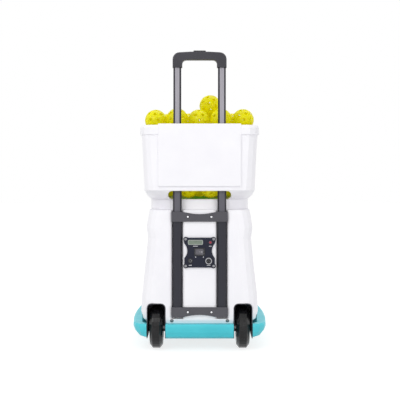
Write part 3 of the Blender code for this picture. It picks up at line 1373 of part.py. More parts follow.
def assemble():
    machine = carrier("machine", (0, 0, 0))
    carry(machine, base_tray(), body_shell(), feeder_deck(), outlet_bezel(), battery(), control_board(),
          feed_motor(), ball_chute(), yaw_pedestal())
    for side, sign in (("left", -1), ("right", 1)):
        x = sign * WHEEL_X
        carry(machine, wheel_well_liner(side, x), axle(side, x), front_foot(side, sign * FOOT_X))
        carry(machine, handle_tube(side + "_outer_tube", sign * TUBE_X, OUTER_TUBE_WIDTH, OUTER_TUBE_DEPTH,
                                   TUBE_CHAMFER, OUTER_TUBE_FOOT_Z, OUTER_TUBE_TOP_Z, DARK_TUBE))
        wheel = carrier(side + "_wheel_axis", (x, WHEEL_Y, WHEEL_Z), machine)
        carry(wheel, tyre(side, x), wheel_hub(side, x))
    carry(machine, tube_bracket("upper_tube_bracket", UPPER_BRACKET_Z, True),
          tube_bracket("lower_tube_bracket", LOWER_BRACKET_Z, False))

    middle_stage = carrier("handle_middle_slide", (0, TUBE_Y, MIDDLE_TUBE_FOOT_Z), machine)
    top_stage = carrier("handle_top_slide", (0, TUBE_Y, TOP_TUBE_FOOT_Z), middle_stage)
    for side, sign in (("left", -1), ("right", 1)):
        carry(middle_stage,
              handle_tube(side + "_middle_tube", sign * TUBE_X, MIDDLE_TUBE_WIDTH, MIDDLE_TUBE_DEPTH,
                          TUBE_CHAMFER - TUBE_SLIP / 2, MIDDLE_TUBE_FOOT_Z, MIDDLE_TUBE_TOP_Z, GREY_TUBE))
        carry(top_stage,
              handle_tube(side + "_top_tube", sign * TUBE_X, TOP_TUBE_WIDTH, TOP_TUBE_DEPTH,
                          TUBE_CHAMFER - TUBE_SLIP, TOP_TUBE_FOOT_Z, GRIP_LEG_Z + GRIP_SOCKET_DEPTH,
                          GREY_TUBE))
    carry(top_stage, handle_grip())
    carry(carrier("release_button_slide", (0, TUBE_Y, GRIP_TOP_Z), top_stage), release_button())

    carry(machine, control_panel(), display_window(), rocker_bezel(),
          panel_socket("remote_socket", REMOTE_X, REMOTE_Z, REMOTE_R, REMOTE_BORE_R, BLACK_PLASTIC),
          panel_socket("charging_inlet", INLET_X, INLET_Z, INLET_R, INLET_BORE_R, STEEL))
    carry(carrier("rocker_axis", rocker_pivot(), machine), power_rocker())
    carry(carrier("mode_button_slide", (MODE_X, PANEL_FACE_Y, MODE_Z), machine), mode_button())

    hopper_seat = carrier("hopper_seat", (0, 0, HOPPER_FOOT_Z), machine)
    carry(hopper_seat, hopper_neck(), hopper())
    carry(carrier("ball_load", (0, 0, FILL_FOOT_Z), hopper_seat), ball_heap(), *loose_balls())

    carry(carrier("feeder_axis", (0, FEEDER_Y, BODY_TOP_Z), machine), feeder_disc(), feeder_gear())
    carry(carrier("pinion_axis", (-gear_centre_distance(), FEEDER_Y, GEAR_TOP_Z), machine), feed_pinion())

    yaw = carrier("launcher_yaw_axis", (0, LAUNCHER_Y, YOKE_BASE_Z), machine)
    carry(yaw, launcher_yoke())
    pitch = carrier("launcher_pitch_axis", (0, LAUNCHER_Y, LAUNCHER_Z), yaw)
    carry(pitch, launcher_cradle())
    for name, rise in (("upper", LAUNCH_WHEEL_RISE), ("lower", -LAUNCH_WHEEL_RISE)):
        carry(pitch, launch_motor(name + "_launch_motor", rise))
        axis = carrier(name + "_launch_axis", (0, LAUNCHER_Y, LAUNCHER_Z + rise), pitch)
        carry(axis, launch_wheel(name + "_launch_hub", rise), launch_tyre(name + "_launch_tyre", rise))


assemble()
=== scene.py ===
"""Pickleball machine: materials, small fittings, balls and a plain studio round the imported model."""
import math

import bmesh
import bpy
from mathutils import Euler, Matrix, Vector
from mathutils.bvhtree import BVHTree

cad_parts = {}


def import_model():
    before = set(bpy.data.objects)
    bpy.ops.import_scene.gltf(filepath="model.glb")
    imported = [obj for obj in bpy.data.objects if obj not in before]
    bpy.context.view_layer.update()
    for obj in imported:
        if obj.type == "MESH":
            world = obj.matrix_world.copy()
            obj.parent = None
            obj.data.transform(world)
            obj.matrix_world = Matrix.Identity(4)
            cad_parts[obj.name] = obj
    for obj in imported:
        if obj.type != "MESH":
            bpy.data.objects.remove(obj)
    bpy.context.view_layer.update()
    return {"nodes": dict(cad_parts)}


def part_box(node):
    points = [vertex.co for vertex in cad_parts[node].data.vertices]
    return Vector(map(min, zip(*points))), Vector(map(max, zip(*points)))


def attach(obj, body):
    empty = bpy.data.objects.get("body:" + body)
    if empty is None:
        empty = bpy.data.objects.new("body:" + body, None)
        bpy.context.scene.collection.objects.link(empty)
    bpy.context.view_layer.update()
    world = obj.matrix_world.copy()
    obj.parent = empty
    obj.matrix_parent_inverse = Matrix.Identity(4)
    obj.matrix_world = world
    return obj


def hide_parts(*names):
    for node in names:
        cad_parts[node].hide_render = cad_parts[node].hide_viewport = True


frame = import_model()

# Camera, in metres and pixels of a 400 x 400 image

IMAGE_WIDTH = 400
SENSOR = 0.036
CAMERA_PLACE = Vector((0, -3.04, 0.597))
FOCAL_PIXELS = 848
HORIZON_ROW = 170
CENTRE_COLUMN = 199.6

# Balls

BALL_R = 0.037
BALL_WALL = 0.0022
HOLE_R = 0.0058
HOLE_SHRINK = 0.86
BALL_GAP = 0.0003
BALL_TRANSLUCENCE = 0.25
# Strength of the balls' painted glow, which brightens them in shade as well as in light
BALL_FLUORESCENCE = 0.13
FILL_COLUMNS = 5
FILL_REAR_ROWS = 3
FILL_FRONT_ROWS = 2
SETTLE_ROUNDS = 60
HEAP_FIRST_TURN = 20

# Places of the balls behind the slot, in pitches across and metres up, and of the rows on the feeder's disc

SLOT_END_RISE = 0.022
SLOT_ROW = ((-1.47, SLOT_END_RISE), (-0.5, 0), (0.5, 0), (1.47, SLOT_END_RISE))
DISC_ROWS = ((-1, 0, 1), (-1.5, -0.5, 0.5, 1.5))

# Relief and grain of the materials, and the place of the painted dark reflection on the handle tubes, in
# metres

TUBE_X = 0.074
CHAMFER_FADE = 0.0012
CLOUD_SIZE = 0.09
SHEEN_SIZE = 0.03
WAVE_SIZE = 0.22
WAVE_DEPTH = 0.0007
DRAWN_LINE = 0.0012
BRUSHED_LINE = 0.0009
RIB_PITCH = 0.0043
RIB_DEPTH = 0.00012
CELL_WIDTH = 0.0029
CELL_HEIGHT = 0.0052
CELL_GAP = 0.0004

# Fittings, in metres, but the wheel nut's shoulder and length are shares of the axle's free end

BRACKET_SCREW_X = 0.039
BRACKET_SCREW_SHIFT = 0.0005
BRACKET_SCREW_R = 0.0034
EAR_SCREW_X = 0.0465
EAR_SCREW_RISE = 0.0445
EAR_SCREW_R = 0.0045
BODY_SCREW_X = 0.0922
BODY_SCREW_Z = 0.0975
BODY_SCREW_R = 0.0042
SIDE_SCREW_X = 0.1905
SIDE_SCREW_Z = 0.1090
SIDE_SCREW_R = 0.0030
# Width of the dark ring of painted shade round some screw heads
SCREW_SEAT = 0.0016
SCREW_SINK = 0.0003
NUT_GAP = 0.0004
NUT_WALL = 0.0045
NUT_PLAY = 0.0003
NUT_CHAMFER = 0.0015
NUT_SHOULDER = 0.6
NUT_LENGTH = 0.8
PRINT_RISE = 0.00012
CAPTION_HEIGHT = 0.0019
SWITCH_MARK_X = 0.0128
SWITCH_MARK_DROP = 0.0042
FRAME_LAP = 0.0003
FRAME_EDGE = 0.0006
FRAME_RISE = 0.0009
FRAME_LESS_WIDE = 0.0045
FRAME_LESS_HIGH = 0.0035
INLET_FLOOR = 0.0018
INSULATOR_R = 0.0082
INSULATOR_HEIGHT = 0.0034
PIN_R = 0.0011
PIN_LENGTH = 0.0064
PIN_CIRCLE_R = 0.0043
INLET_NUT_BORE = 0.0110
INLET_NUT_R = 0.0125
INLET_NUT_RISE = 0.0010
REMOTE_RING_BORE = 0.0034
REMOTE_RING_R = 0.0046
REMOTE_RING_SINK = 0.0004

# Studio: levels of the light that falls on the object and on the floor

WORLD_FILL = 0.8
FLOOR_REACH = 12
FLOOR_LIT = 0.75
FLOOR_SEEN = 0.34
FLOOR_GLOW = 0.78
KEY_POWER = 32
FILL_POWER = 14
TOP_POWER = 12


# Materials

def rgb(red, green, blue):
    """A colour written as 0 to 255 screen values, as the linear values that a shader takes."""
    linear = []
    for value in (red, green, blue):
        share = value / 255
        linear.append(share / 12.92 if share <= 0.04045 else ((share + 0.055) / 1.055) ** 2.4)
    return (*linear, 1.0)


class Look:
    """A principled material whose colour, roughness and relief come from noise at real scale."""

    def __init__(self, name, roughness, metallic=0.0, specular=0.5, coat=0.0):
        self.material = bpy.data.materials.new(name)
        self.material.use_nodes = True
        self.tree = self.material.node_tree
        self.shader = self.tree.nodes["Principled BSDF"]
        self.shader.inputs["Metallic"].default_value = metallic
        self.shader.inputs["Roughness"].default_value = roughness
        self.shader.inputs["Specular IOR Level"].default_value = specular
        self.shader.inputs["Coat Weight"].default_value = coat
        self.shader.inputs["Coat Roughness"].default_value = 0.12
        self.coordinates = self.node("ShaderNodeTexCoord")

    def node(self, kind, **settings):
        """A new shader node with its settings."""
        made = self.tree.nodes.new(kind)
        for setting, value in settings.items():
            setattr(made, setting, value)
        return made

    def link(self, source, target):
        self.tree.links.new(source, target)

    def noise(self, size, stretch=(1, 1, 1), detail=3.0):
        """Noise whose blotches are about a size across, drawn out by a stretch on each axis."""
        place = self.node("ShaderNodeMapping")
        place.inputs["Scale"].default_value = [1 / (size * share) for share in stretch]
        self.link(self.coordinates.outputs["Object"], place.inputs["Vector"])
        made = self.node("ShaderNodeTexNoise")
        made.inputs["Scale"].default_value = 1.0
        made.inputs["Detail"].default_value = detail
        self.link(place.outputs["Vector"], made.inputs["Vector"])
        return made.outputs["Fac"]

    def spread(self, value, low, high, start=0.3, end=0.7):
        """A value carried from one range to another."""
        made = self.node("ShaderNodeMapRange")
        made.inputs["From Min"].default_value = start
        made.inputs["From Max"].default_value = end
        made.inputs["To Min"].default_value = low
        made.inputs["To Max"].default_value = high
        self.link(value, made.inputs["Value"])
        return made.outputs["Result"]

    def mix(self, share, first, second):
        """Two colours, or colour outputs, mixed by a share."""
        made = self.node("ShaderNodeMix", data_type="RGBA")
        self.link(share, made.inputs["Factor"])
        for socket, colour in ((made.inputs[6], first), (made.inputs[7], second)):
            if isinstance(colour, tuple):
                socket.default_value = colour
            else:
                self.link(colour, socket)
        return made.outputs[2]

    def colour(self, value):
        """Take the base colour from a node's output."""
        self.link(value, self.shader.inputs["Base Color"])

    def rough(self, value, low, high):
        """Let the roughness wander between two values."""
        self.link(self.spread(value, low, high), self.shader.inputs["Roughness"])

    def relief(self, *heights):
        """Bumps on top of each other, each a value and its depth in metres."""
        normal = None
        for value, depth in heights:
            bump = self.node("ShaderNodeBump")
            bump.inputs["Strength"].default_value = 1.0
            bump.inputs["Distance"].default_value = depth
            self.link(value, bump.inputs["Height"])
            if normal:
                self.link(normal, bump.inputs["Normal"])
            normal = bump.outputs["Normal"]
        self.link(normal, self.shader.inputs["Normal"])


def moulded(name, colour, shade, roughness, grain, depth, coat=0.0, specular=0.5):
    """Injection-moulded plastic: soft clouds of tone, uneven sheen and a fine spark-eroded grain."""
    look = Look(name, roughness, coat=coat, specular=specular)
    clouds = look.noise(CLOUD_SIZE, detail=4.0)
    look.colour(look.mix(look.spread(clouds, 0, 1), colour, shade))
    look.rough(look.noise(SHEEN_SIZE), roughness - 0.05, roughness + 0.07)
    look.relief((look.noise(WAVE_SIZE, detail=1.0), WAVE_DEPTH), (look.noise(grain), depth))
    return look.material


def drawn_metal(name, colour, shade, roughness, metallic=1.0, along=(1, 1, 40)):
    """Metal with drawing lines along one axis."""
    look = Look(name, roughness, metallic=metallic)
    lines = look.noise(DRAWN_LINE, along, detail=2.0)
    look.colour(look.mix(look.spread(lines, 0, 1), colour, shade))
    look.rough(lines, roughness - 0.06, roughness + 0.10)
    look.relief((lines, 0.00001))
    return look.material


def tube_look(name, face, edge, flat, roughness):
    """Anodised handle tube: a brushed band of one tone up the middle, and a painted dark reflection on the
    chamfers and sides.
    """
    look = Look(name, roughness, specular=0.3)
    place = look.node("ShaderNodeSeparateXYZ")
    look.link(look.coordinates.outputs["Object"], place.inputs["Vector"])
    across = look.node("ShaderNodeMath", operation="ABSOLUTE")
    look.link(place.outputs["X"], across.inputs[0])
    aside = look.node("ShaderNodeMath", operation="SUBTRACT")
    aside.inputs[1].default_value = TUBE_X
    look.link(across.outputs[0], aside.inputs[0])
    offset = look.node("ShaderNodeMath", operation="ABSOLUTE")
    look.link(aside.outputs[0], offset.inputs[0])
    lines = look.noise(BRUSHED_LINE, (1, 1, 60), detail=2.0)
    brushed = look.mix(look.spread(lines, 0, 0.22), face, edge)
    # Painted dark reflection: past the flat face's half-width from the tube's middle, the chamfers and sides
    # take the edge colour
    chamfer = look.spread(offset.outputs[0], 0, 1, flat, flat + CHAMFER_FADE)
    look.colour(look.mix(chamfer, brushed, edge))
    look.rough(lines, roughness - 0.05, roughness + 0.08)
    look.relief((lines, 0.000008))
    return look.material


def tyre_look():
    """Black tyre rubber with fine ribs round the tread, paler where it has scuffed."""
    look = Look("tyre_rubber", 0.3, specular=0.35)
    scuffs = look.noise(0.012, detail=6.0)
    look.colour(look.mix(look.spread(scuffs, 0, 1, 0.5, 0.8), rgb(10, 10, 12), rgb(30, 29, 33)))
    look.rough(look.noise(0.02), 0.12, 0.28)
    across = look.node("ShaderNodeSeparateXYZ")
    look.link(look.coordinates.outputs["Object"], across.inputs["Vector"])
    ribs = look.node("ShaderNodeMath", operation="SINE")
    scaled = look.node("ShaderNodeMath", operation="MULTIPLY")
    scaled.inputs[1].default_value = math.tau / RIB_PITCH
    look.link(across.outputs["X"], scaled.inputs[0])
    look.link(scaled.outputs[0], ribs.inputs[0])
    look.relief((ribs.outputs[0], RIB_DEPTH), (look.noise(0.0008), 0.00004))
    return look.material


def ball_look():
    """Fluorescent yellow polythene that lets some light through, a little uneven and scuffed by play, with a
    painted glow that lifts it in shade.
    """
    look = Look("ball_yellow", 0.26, specular=0.2, coat=0.08)
    look.shader.inputs["Subsurface Weight"].default_value = 0.7
    look.shader.inputs["Subsurface Radius"].default_value = (1.0, 0.8, 0.1)
    look.shader.inputs["Subsurface Scale"].default_value = 0.008
    tone = look.node("ShaderNodeObjectInfo")
    clouds = look.mix(look.spread(look.noise(0.02, detail=4.0), 0, 1), rgb(238, 232, 5), rgb(228, 220, 3))
    older = look.mix(look.spread(look.noise(0.012, detail=5.0), 0, 0.2, 0.5, 0.8), clouds, rgb(200, 188, 10))
    colour = look.mix(look.spread(tone.outputs["Random"], 0, 0.35, 0, 1), older, rgb(246, 242, 52))
    look.colour(colour)
    # Painted glow: the ball emits its own colour, which brightens it in shade as well as in light
    look.link(colour, look.shader.inputs["Emission Color"])
    look.shader.inputs["Emission Strength"].default_value = BALL_FLUORESCENCE
    look.rough(look.noise(0.008), 0.26, 0.45)
    look.relief((look.noise(0.0015), 0.00002))
    through = look.node("ShaderNodeBsdfTranslucent")
    look.link(colour, through.inputs["Color"])
    both = look.node("ShaderNodeMixShader")
    both.inputs["Fac"].default_value = BALL_TRANSLUCENCE
    look.link(look.shader.outputs["BSDF"], both.inputs[1])
    look.link(through.outputs["BSDF"], both.inputs[2])
    look.link(both.outputs["Shader"], look.tree.nodes["Material Output"].inputs["Surface"])
    return look.material


def display_look():
    """A two-line liquid crystal display behind clear plastic: pale cells on a grey-green ground."""
    look = Look("display_glass", 0.22)
    place = look.node("ShaderNodeMapping")
    place.inputs["Rotation"].default_value = (math.pi / 2, 0, 0)
    look.link(look.coordinates.outputs["Object"], place.inputs["Vector"])
    cells = look.node("ShaderNodeTexBrick", offset=0.0)
    cells.inputs["Color1"].default_value = rgb(96, 108, 96)
    cells.inputs["Color2"].default_value = rgb(104, 117, 104)
    cells.inputs["Mortar"].default_value = rgb(128, 140, 128)
    cells.inputs["Scale"].default_value = 1.0
    cells.inputs["Mortar Size"].default_value = CELL_GAP
    cells.inputs["Brick Width"].default_value = CELL_WIDTH
    cells.inputs["Row Height"].default_value = CELL_HEIGHT
    look.link(place.outputs["Vector"], cells.inputs["Vector"])
    haze = look.noise(0.01)
    look.colour(look.mix(look.spread(haze, 0, 0.25), cells.outputs["Color"], rgb(146, 158, 146)))
    look.rough(haze, 0.12, 0.2)
    look.relief((haze, 0.00002))
    return look.material


def board_look():
    """Green lacquer over the tracks of a circuit board."""
    look = Look("board_green", 0.4, coat=0.3)
    tracks = look.noise(0.004, (1, 1, 6), detail=0.0)
    look.colour(look.mix(look.spread(tracks, 0, 1, 0.48, 0.52), rgb(20, 92, 52), rgb(34, 118, 66)))
    look.rough(tracks, 0.3, 0.5)
    look.relief((tracks, 0.00004))
    return look.material


LOOKS = {
    "white_plastic": moulded("white_plastic", rgb(247, 246, 250), rgb(243, 242, 247), 0.36, 0.0009, 0.00002),
    "teal_plastic": moulded("teal_plastic", rgb(74, 205, 218), rgb(66, 197, 211), 0.38, 0.0008, 0.00003),
    "black_plastic": moulded("black_plastic", rgb(38, 38, 42), rgb(46, 46, 50), 0.45, 0.0007, 0.00005,
                             specular=0.4),
    "grip_plastic": moulded("grip_plastic", rgb(54, 53, 59), rgb(61, 60, 66), 0.32, 0.0006, 0.00003,
                            specular=0.4),
    "navy_plastic": moulded("navy_plastic", rgb(26, 29, 44), rgb(31, 34, 50), 0.5, 0.0006, 0.00004,
                            specular=0.25),
    "red_plastic": moulded("red_plastic", rgb(176, 30, 62), rgb(160, 26, 54), 0.3, 0.0008, 0.00002),
    "soft_rubber": moulded("soft_rubber", rgb(40, 40, 42), rgb(52, 52, 54), 0.62, 0.0012, 0.0001),
    "gear_nylon": moulded("gear_nylon", rgb(228, 224, 210), rgb(216, 211, 196), 0.5, 0.001, 0.00003),
    "display_glass": display_look(),
    "tyre_rubber": tyre_look(),
    # The second colour of each tube look is its painted dark reflection on the chamfers and sides, and also
    # the tone of its drawing lines
    "dark_tube": tube_look("dark_tube", rgb(46, 46, 55), rgb(32, 32, 40), 0.011, 0.40),
    "grey_tube": tube_look("grey_tube", rgb(172, 169, 177), rgb(46, 45, 52), 0.0066, 0.34),
    "steel": drawn_metal("steel", rgb(158, 158, 162), rgb(136, 136, 140), 0.28),
    "aluminium": drawn_metal("aluminium", rgb(206, 206, 210), rgb(188, 188, 193), 0.36),
    "board_green": board_look(),
    "ball_yellow": ball_look(),
}
BRIGHT_STEEL = drawn_metal("bright_steel", rgb(236, 236, 240), rgb(224, 224, 228), 0.22)
NODE_LOOKS = {
    "charging_inlet": drawn_metal("inlet_steel", rgb(184, 184, 189), rgb(166, 166, 171), 0.26),
    # The middle tubes' second colour is their painted dark reflection on the chamfers and sides, and also
    # the tone of their drawing lines
    "middle_tube": tube_look("middle_tube", rgb(100, 99, 107), rgb(44, 43, 50), 0.0085, 0.34),
    "tube_bracket": moulded("bracket_plastic", rgb(70, 69, 76), rgb(77, 76, 83), 0.42, 0.0006, 0.00005),
    "power_rocker": moulded("rocker_plastic", rgb(88, 86, 93), rgb(95, 93, 100), 0.4, 0.0006, 0.00003),
    "well_liner": moulded("liner_plastic", rgb(74, 74, 82), rgb(82, 82, 90), 0.4, 0.0008, 0.00005),
}
PRINT_WHITE = moulded("print_white", rgb(226, 226, 230), rgb(214, 214, 219), 0.5, 0.0004, 0.00001)


def dress_nodes():
    """Give each CAD node the full material of its slot, or its own shade of that."""
    for name, node in frame["nodes"].items():
        own = [look for word, look in NODE_LOOKS.items() if name.endswith(word)]
        for holder in node.material_slots:
            holder.material = own[0] if own else LOOKS[holder.material.name]


# Building blocks

def mesh_from(name, shape, look):
    """A smooth mesh with sharp corners and one material, from a bmesh that it uses up."""
    bmesh.ops.recalc_face_normals(shape, faces=shape.faces)
    mesh = bpy.data.meshes.new(name)
    shape.to_mesh(mesh)
    shape.free()
    mesh.materials.append(look)
    mesh.shade_smooth()
    mesh.set_sharp_from_angle(angle=math.radians(35))
    return mesh


def lathe(name, profile, look, sides=24):
    """Turn a profile of (radius, height) points about the local Z axis, closed where it meets the axis."""
    shape = bmesh.new()
    rings = []
    for radius, height in profile:
        if radius == 0:
            rings.append([shape.verts.new((0, 0, height))])
            continue
        rings.append([shape.verts.new((radius * math.cos(math.tau * side / sides),
                                       radius * math.sin(math.tau * side / sides), height))
                      for side in range(sides)])
    for lower, upper in zip(rings, rings[1:]):
        for side in range(sides):
            following = (side + 1) % sides
            corners = [lower[side % len(lower)], lower[following % len(lower)],
                       upper[following % len(upper)], upper[side % len(upper)]]
            unique = list(dict.fromkeys(corners))
            if len(unique) > 2:
                shape.faces.new(unique)
    return mesh_from(name, shape, look)


def join_rings(shape, rings):
    """A band of faces between each ring of corners and the next."""
    for lower, upper in zip(rings, rings[1:]):
        for index in range(len(lower)):
            following = (index + 1) % len(lower)
            shape.faces.new((lower[index], lower[following], upper[following], upper[index]))


def plate(name, outline, thickness, look):
    """A flat outline in local X and Y, raised along Z."""
    shape = bmesh.new()
    rings = [[shape.verts.new((x, y, height)) for x, y in outline] for height in (0, thickness)]
    join_rings(shape, rings)
    for ring in rings:
        shape.faces.new(ring)
    return mesh_from(name, shape, look)


def rounded(width, height, radius, steps=5):
    """Outline of a rounded rectangle about its centre."""
    points = []
    for sign_x, sign_y, start in ((1, -1, -90), (1, 1, 0), (-1, 1, 90), (-1, -1, 180)):
        centre_x = sign_x * (width / 2 - radius)
        centre_y = sign_y * (height / 2 - radius)
        for step in range(steps + 1):
            angle = math.radians(start + 90 * step / steps)
            points.append((centre_x + radius * math.cos(angle), centre_y + radius * math.sin(angle)))
    return points


SURFACES = {}


def faces_of(node):
    """The faces of a CAD node, ready to be searched."""
    if node not in SURFACES:
        mesh = frame["nodes"][node].data
        SURFACES[node] = BVHTree.FromPolygons([corner.co for corner in mesh.vertices],
                                              [tuple(face.vertices) for face in mesh.polygons])
    return SURFACES[node]


def surface(node, x, z):
    """Where a line along +Y first meets a CAD node, and the way that its surface faces there."""
    point, normal, _, _ = faces_of(node).ray_cast(Vector((x, -1, z)), Vector((0, 1, 0)))
    return point, -normal if normal.y > 0 else normal


def add(name, mesh, body, point, facing=(0, -1, 0), turn=0.0):
    """Set a mesh with its local Z along a direction, and let it ride on a body."""
    piece = bpy.data.objects.new(name, mesh)
    bpy.context.scene.collection.objects.link(piece)
    facing = Vector(facing).normalized()
    side = Vector((0, 0, 1)).cross(facing)
    side = side.normalized() if side.length > 1e-4 else Vector((1, 0, 0))
    up = facing.cross(side)
    axes = Matrix((side, up, facing)).transposed().to_4x4()
    piece.matrix_world = Matrix.Translation(point) @ axes @ Matrix.Rotation(turn, 4, "Z")
    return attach(piece, body)


# Balls

def hole_centres():
    """The 32 even places on a ball where its holes go, and the 60 triangles among them."""
    seed = bmesh.new()
    bmesh.ops.create_icosphere(seed, subdivisions=1, radius=1.0)
    places = [corner.co.normalized() for corner in seed.verts]
    middle = {}
    for face in seed.faces:
        middle[face] = len(places)
        places.append(face.calc_center_median().normalized())
    triangles = []
    for edge in seed.edges:
        one, other = (middle[face] for face in edge.link_faces)
        for corner in edge.verts:
            first, second, third = places[corner.index], places[one], places[other]
            outward = (second - first).cross(third - first).dot(first) > 0
            triangles.append((corner.index, one, other) if outward else (corner.index, other, one))
    seed.free()
    return places, triangles


def ball_cage():
    """A ball of round openings: each triangle among the holes gives three quads and a small triangle."""
    places, triangles = hole_centres()
    points = []
    known = {}

    def point(key, place):
        if key not in known:
            known[key] = len(points)
            points.append(place.normalized() * BALL_R)
        return known[key]

    faces = []
    for corners in triangles:
        middles = []
        for index in range(3):
            one, two = corners[index], corners[(index + 1) % 3]
            middles.append(point(("middle", min(one, two), max(one, two)), places[one] + places[two]))
        for index in range(3):
            corner = corners[index]
            reach = HOLE_R / HOLE_SHRINK / BALL_R
            near = []
            for other in (corners[(index + 1) % 3], corners[(index + 2) % 3]):
                along = (places[other] - places[corner]).normalized()
                near.append(point(("near", corner, other), places[corner] + along * reach))
            faces.append((near[0], middles[index], middles[(index + 2) % 3], near[1]))
        faces.append(tuple(middles))
    mesh = bpy.data.meshes.new("ball_cage")
    mesh.from_pydata(points, [], faces)
    return mesh


def ball_mesh():
    """The cage rounded, cast back to a sphere and given the wall of a real ball."""
    model = bpy.data.objects.new("ball_model", ball_cage())
    bpy.context.scene.collection.objects.link(model)
    smooth = model.modifiers.new("smooth", "SUBSURF")
    smooth.levels = smooth.render_levels = 2
    cast = model.modifiers.new("cast", "CAST")
    cast.factor = 1.0
    cast.use_radius_as_size = False
    cast.radius = 0.0
    cast.size = BALL_R
    wall = model.modifiers.new("wall", "SOLIDIFY")
    wall.thickness = BALL_WALL
    wall.offset = -1.0
    graph = bpy.context.evaluated_depsgraph_get()
    mesh = bpy.data.meshes.new_from_object(model.evaluated_get(graph))
    mesh.name = "ball"
    mesh.materials.clear()
    mesh.materials.append(LOOKS["ball_yellow"])
    mesh.shade_smooth()
    mesh.set_sharp_from_angle(angle=math.radians(50))
    cage = model.data
    bpy.data.objects.remove(model)
    bpy.data.meshes.remove(cage)
    return mesh


def add_ball(name, mesh, centre, number):
    """One ball of the load, turned its own way."""
    ball = bpy.data.objects.new(name, mesh)
    bpy.context.scene.collection.objects.link(ball)
    turn = Euler((2.4 * number, 1.3 * number + 0.4, 0.9 * number))
    ball.matrix_world = Matrix.Translation(centre) @ turn.to_matrix().to_4x4()
    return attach(ball, "ball_load")


def fill_places():
    """Centres of the balls in the upper layers of the load, behind the slot and on the feeder's disc."""
    low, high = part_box("ball_heap")
    pitch = 2 * BALL_R + BALL_GAP
    rise = pitch / math.sqrt(2)
    top = high.z - BALL_R
    rear = low.y + BALL_R
    places = []
    for row in range(FILL_REAR_ROWS + FILL_FRONT_ROWS):
        layer = 0 if row < FILL_REAR_ROWS else 1
        for column in range(FILL_COLUMNS):
            x = (column - (FILL_COLUMNS - 1) / 2) * pitch
            places.append(Vector((x, rear + row * pitch, top - layer * rise)))
            if column < FILL_COLUMNS - 1 and row < FILL_REAR_ROWS + FILL_FRONT_ROWS - 1:
                under = layer + 1 if row != FILL_REAR_ROWS - 1 else 2
                places.append(Vector((x + pitch / 2, rear + (row + 0.5) * pitch, top - under * rise)))
    for share, lift in SLOT_ROW:
        places.append(Vector((share * pitch, rear, top - 3 * rise + lift)))
    disc_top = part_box("feeder_disc")[1].z
    depth = pitch * math.sqrt(3) / 2
    for row, shares in enumerate(DISC_ROWS):
        for share in shares:
            places.append(Vector((share * pitch, rear + (row + 1) * depth, disc_top + BALL_R + BALL_GAP)))
    return places


def settled(places):
    """The same places, with each pair of balls pushed apart until no two overlap."""
    pitch = 2 * BALL_R + BALL_GAP
    for _ in range(SETTLE_ROUNDS):
        for index in range(len(places)):
            for other in range(index):
                apart = places[index] - places[other]
                short = pitch - apart.length
                if short > 0:
                    step = apart.normalized() * short / 2
                    places[index] = places[index] + step
                    places[other] = places[other] - step
    return places


def load_of_balls():
    """Hollow balls in place of each loose ball node and of the heap."""
    mesh = ball_mesh()
    others = ("ball_heap", "ball_chute")
    loose = [name for name in sorted(frame["nodes"]) if name.startswith("ball_") and name not in others]
    corners = [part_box(node) for node in loose]
    places = settled([(low + high) / 2 for low, high in corners] + fill_places())
    for number, node in enumerate(loose):
        ball = add_ball("pickle" + node, mesh, places[number], number)
        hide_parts(node)
    for number, place in enumerate(places[len(loose):]):
        ball = add_ball(f"heap_{number:02d}", mesh, place, number + HEAP_FIRST_TURN)
        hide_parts("ball_heap")


# Screws

def screw_mesh(name, radius, look):
    """A pan-head screw with a cross recess, drawn in shares of its radius."""
    profile = ((0, -SCREW_SINK), (radius, -SCREW_SINK), (radius, 0.16 * radius),
               (0.9 * radius, 0.38 * radius), (0.6 * radius, 0.52 * radius), (0, 0.58 * radius))
    head = lathe(name, profile, look)
    solid = bpy.data.objects.new(name, head)
    cutters = []
    for turn in (0, math.pi / 2):
        arm = plate(name + "_recess", rounded(1.15 * radius, 0.26 * radius, 0.05 * radius, 1), radius, look)
        cutter = bpy.data.objects.new(name + "_recess", arm)
        cutter.location.z = 0.24 * radius
        cutter.rotation_euler.z = turn
        cutters.append(cutter)
    for part in (solid, *cutters):
        bpy.context.scene.collection.objects.link(part)
    for cutter in cutters:
        modifier = solid.modifiers.new("recess", "BOOLEAN")
        modifier.operation = "DIFFERENCE"
        modifier.object = cutter
    graph = bpy.context.evaluated_depsgraph_get()
    mesh = bpy.data.meshes.new_from_object(solid.evaluated_get(graph))
    mesh.name = name
    mesh.set_sharp_from_angle(angle=math.radians(35))
    for part in (solid, *cutters):
        old = part.data
        bpy.data.objects.remove(part)
        bpy.data.meshes.remove(old)
    return mesh


def add_screw(name, mesh, node, x, z, turn):
    """A screw, or the dark ring of painted shade round it, on the face of a CAD node."""
    point, facing = surface(node, x, z)
    return add(name, mesh, "machine", point, facing, turn)


def screw_seat(name, radius):
    """A dark ring of painted shade round a screw head, standing in for the shadowed gap of its counterbore.
    """
    return lathe(name, ((radius * 1.02, 0), (radius + SCREW_SEAT, 0), (radius + 0.9 * SCREW_SEAT, 0.0005),
                        (radius * 1.06, 0.0005), (radius * 1.02, 0)), LOOKS["black_plastic"])


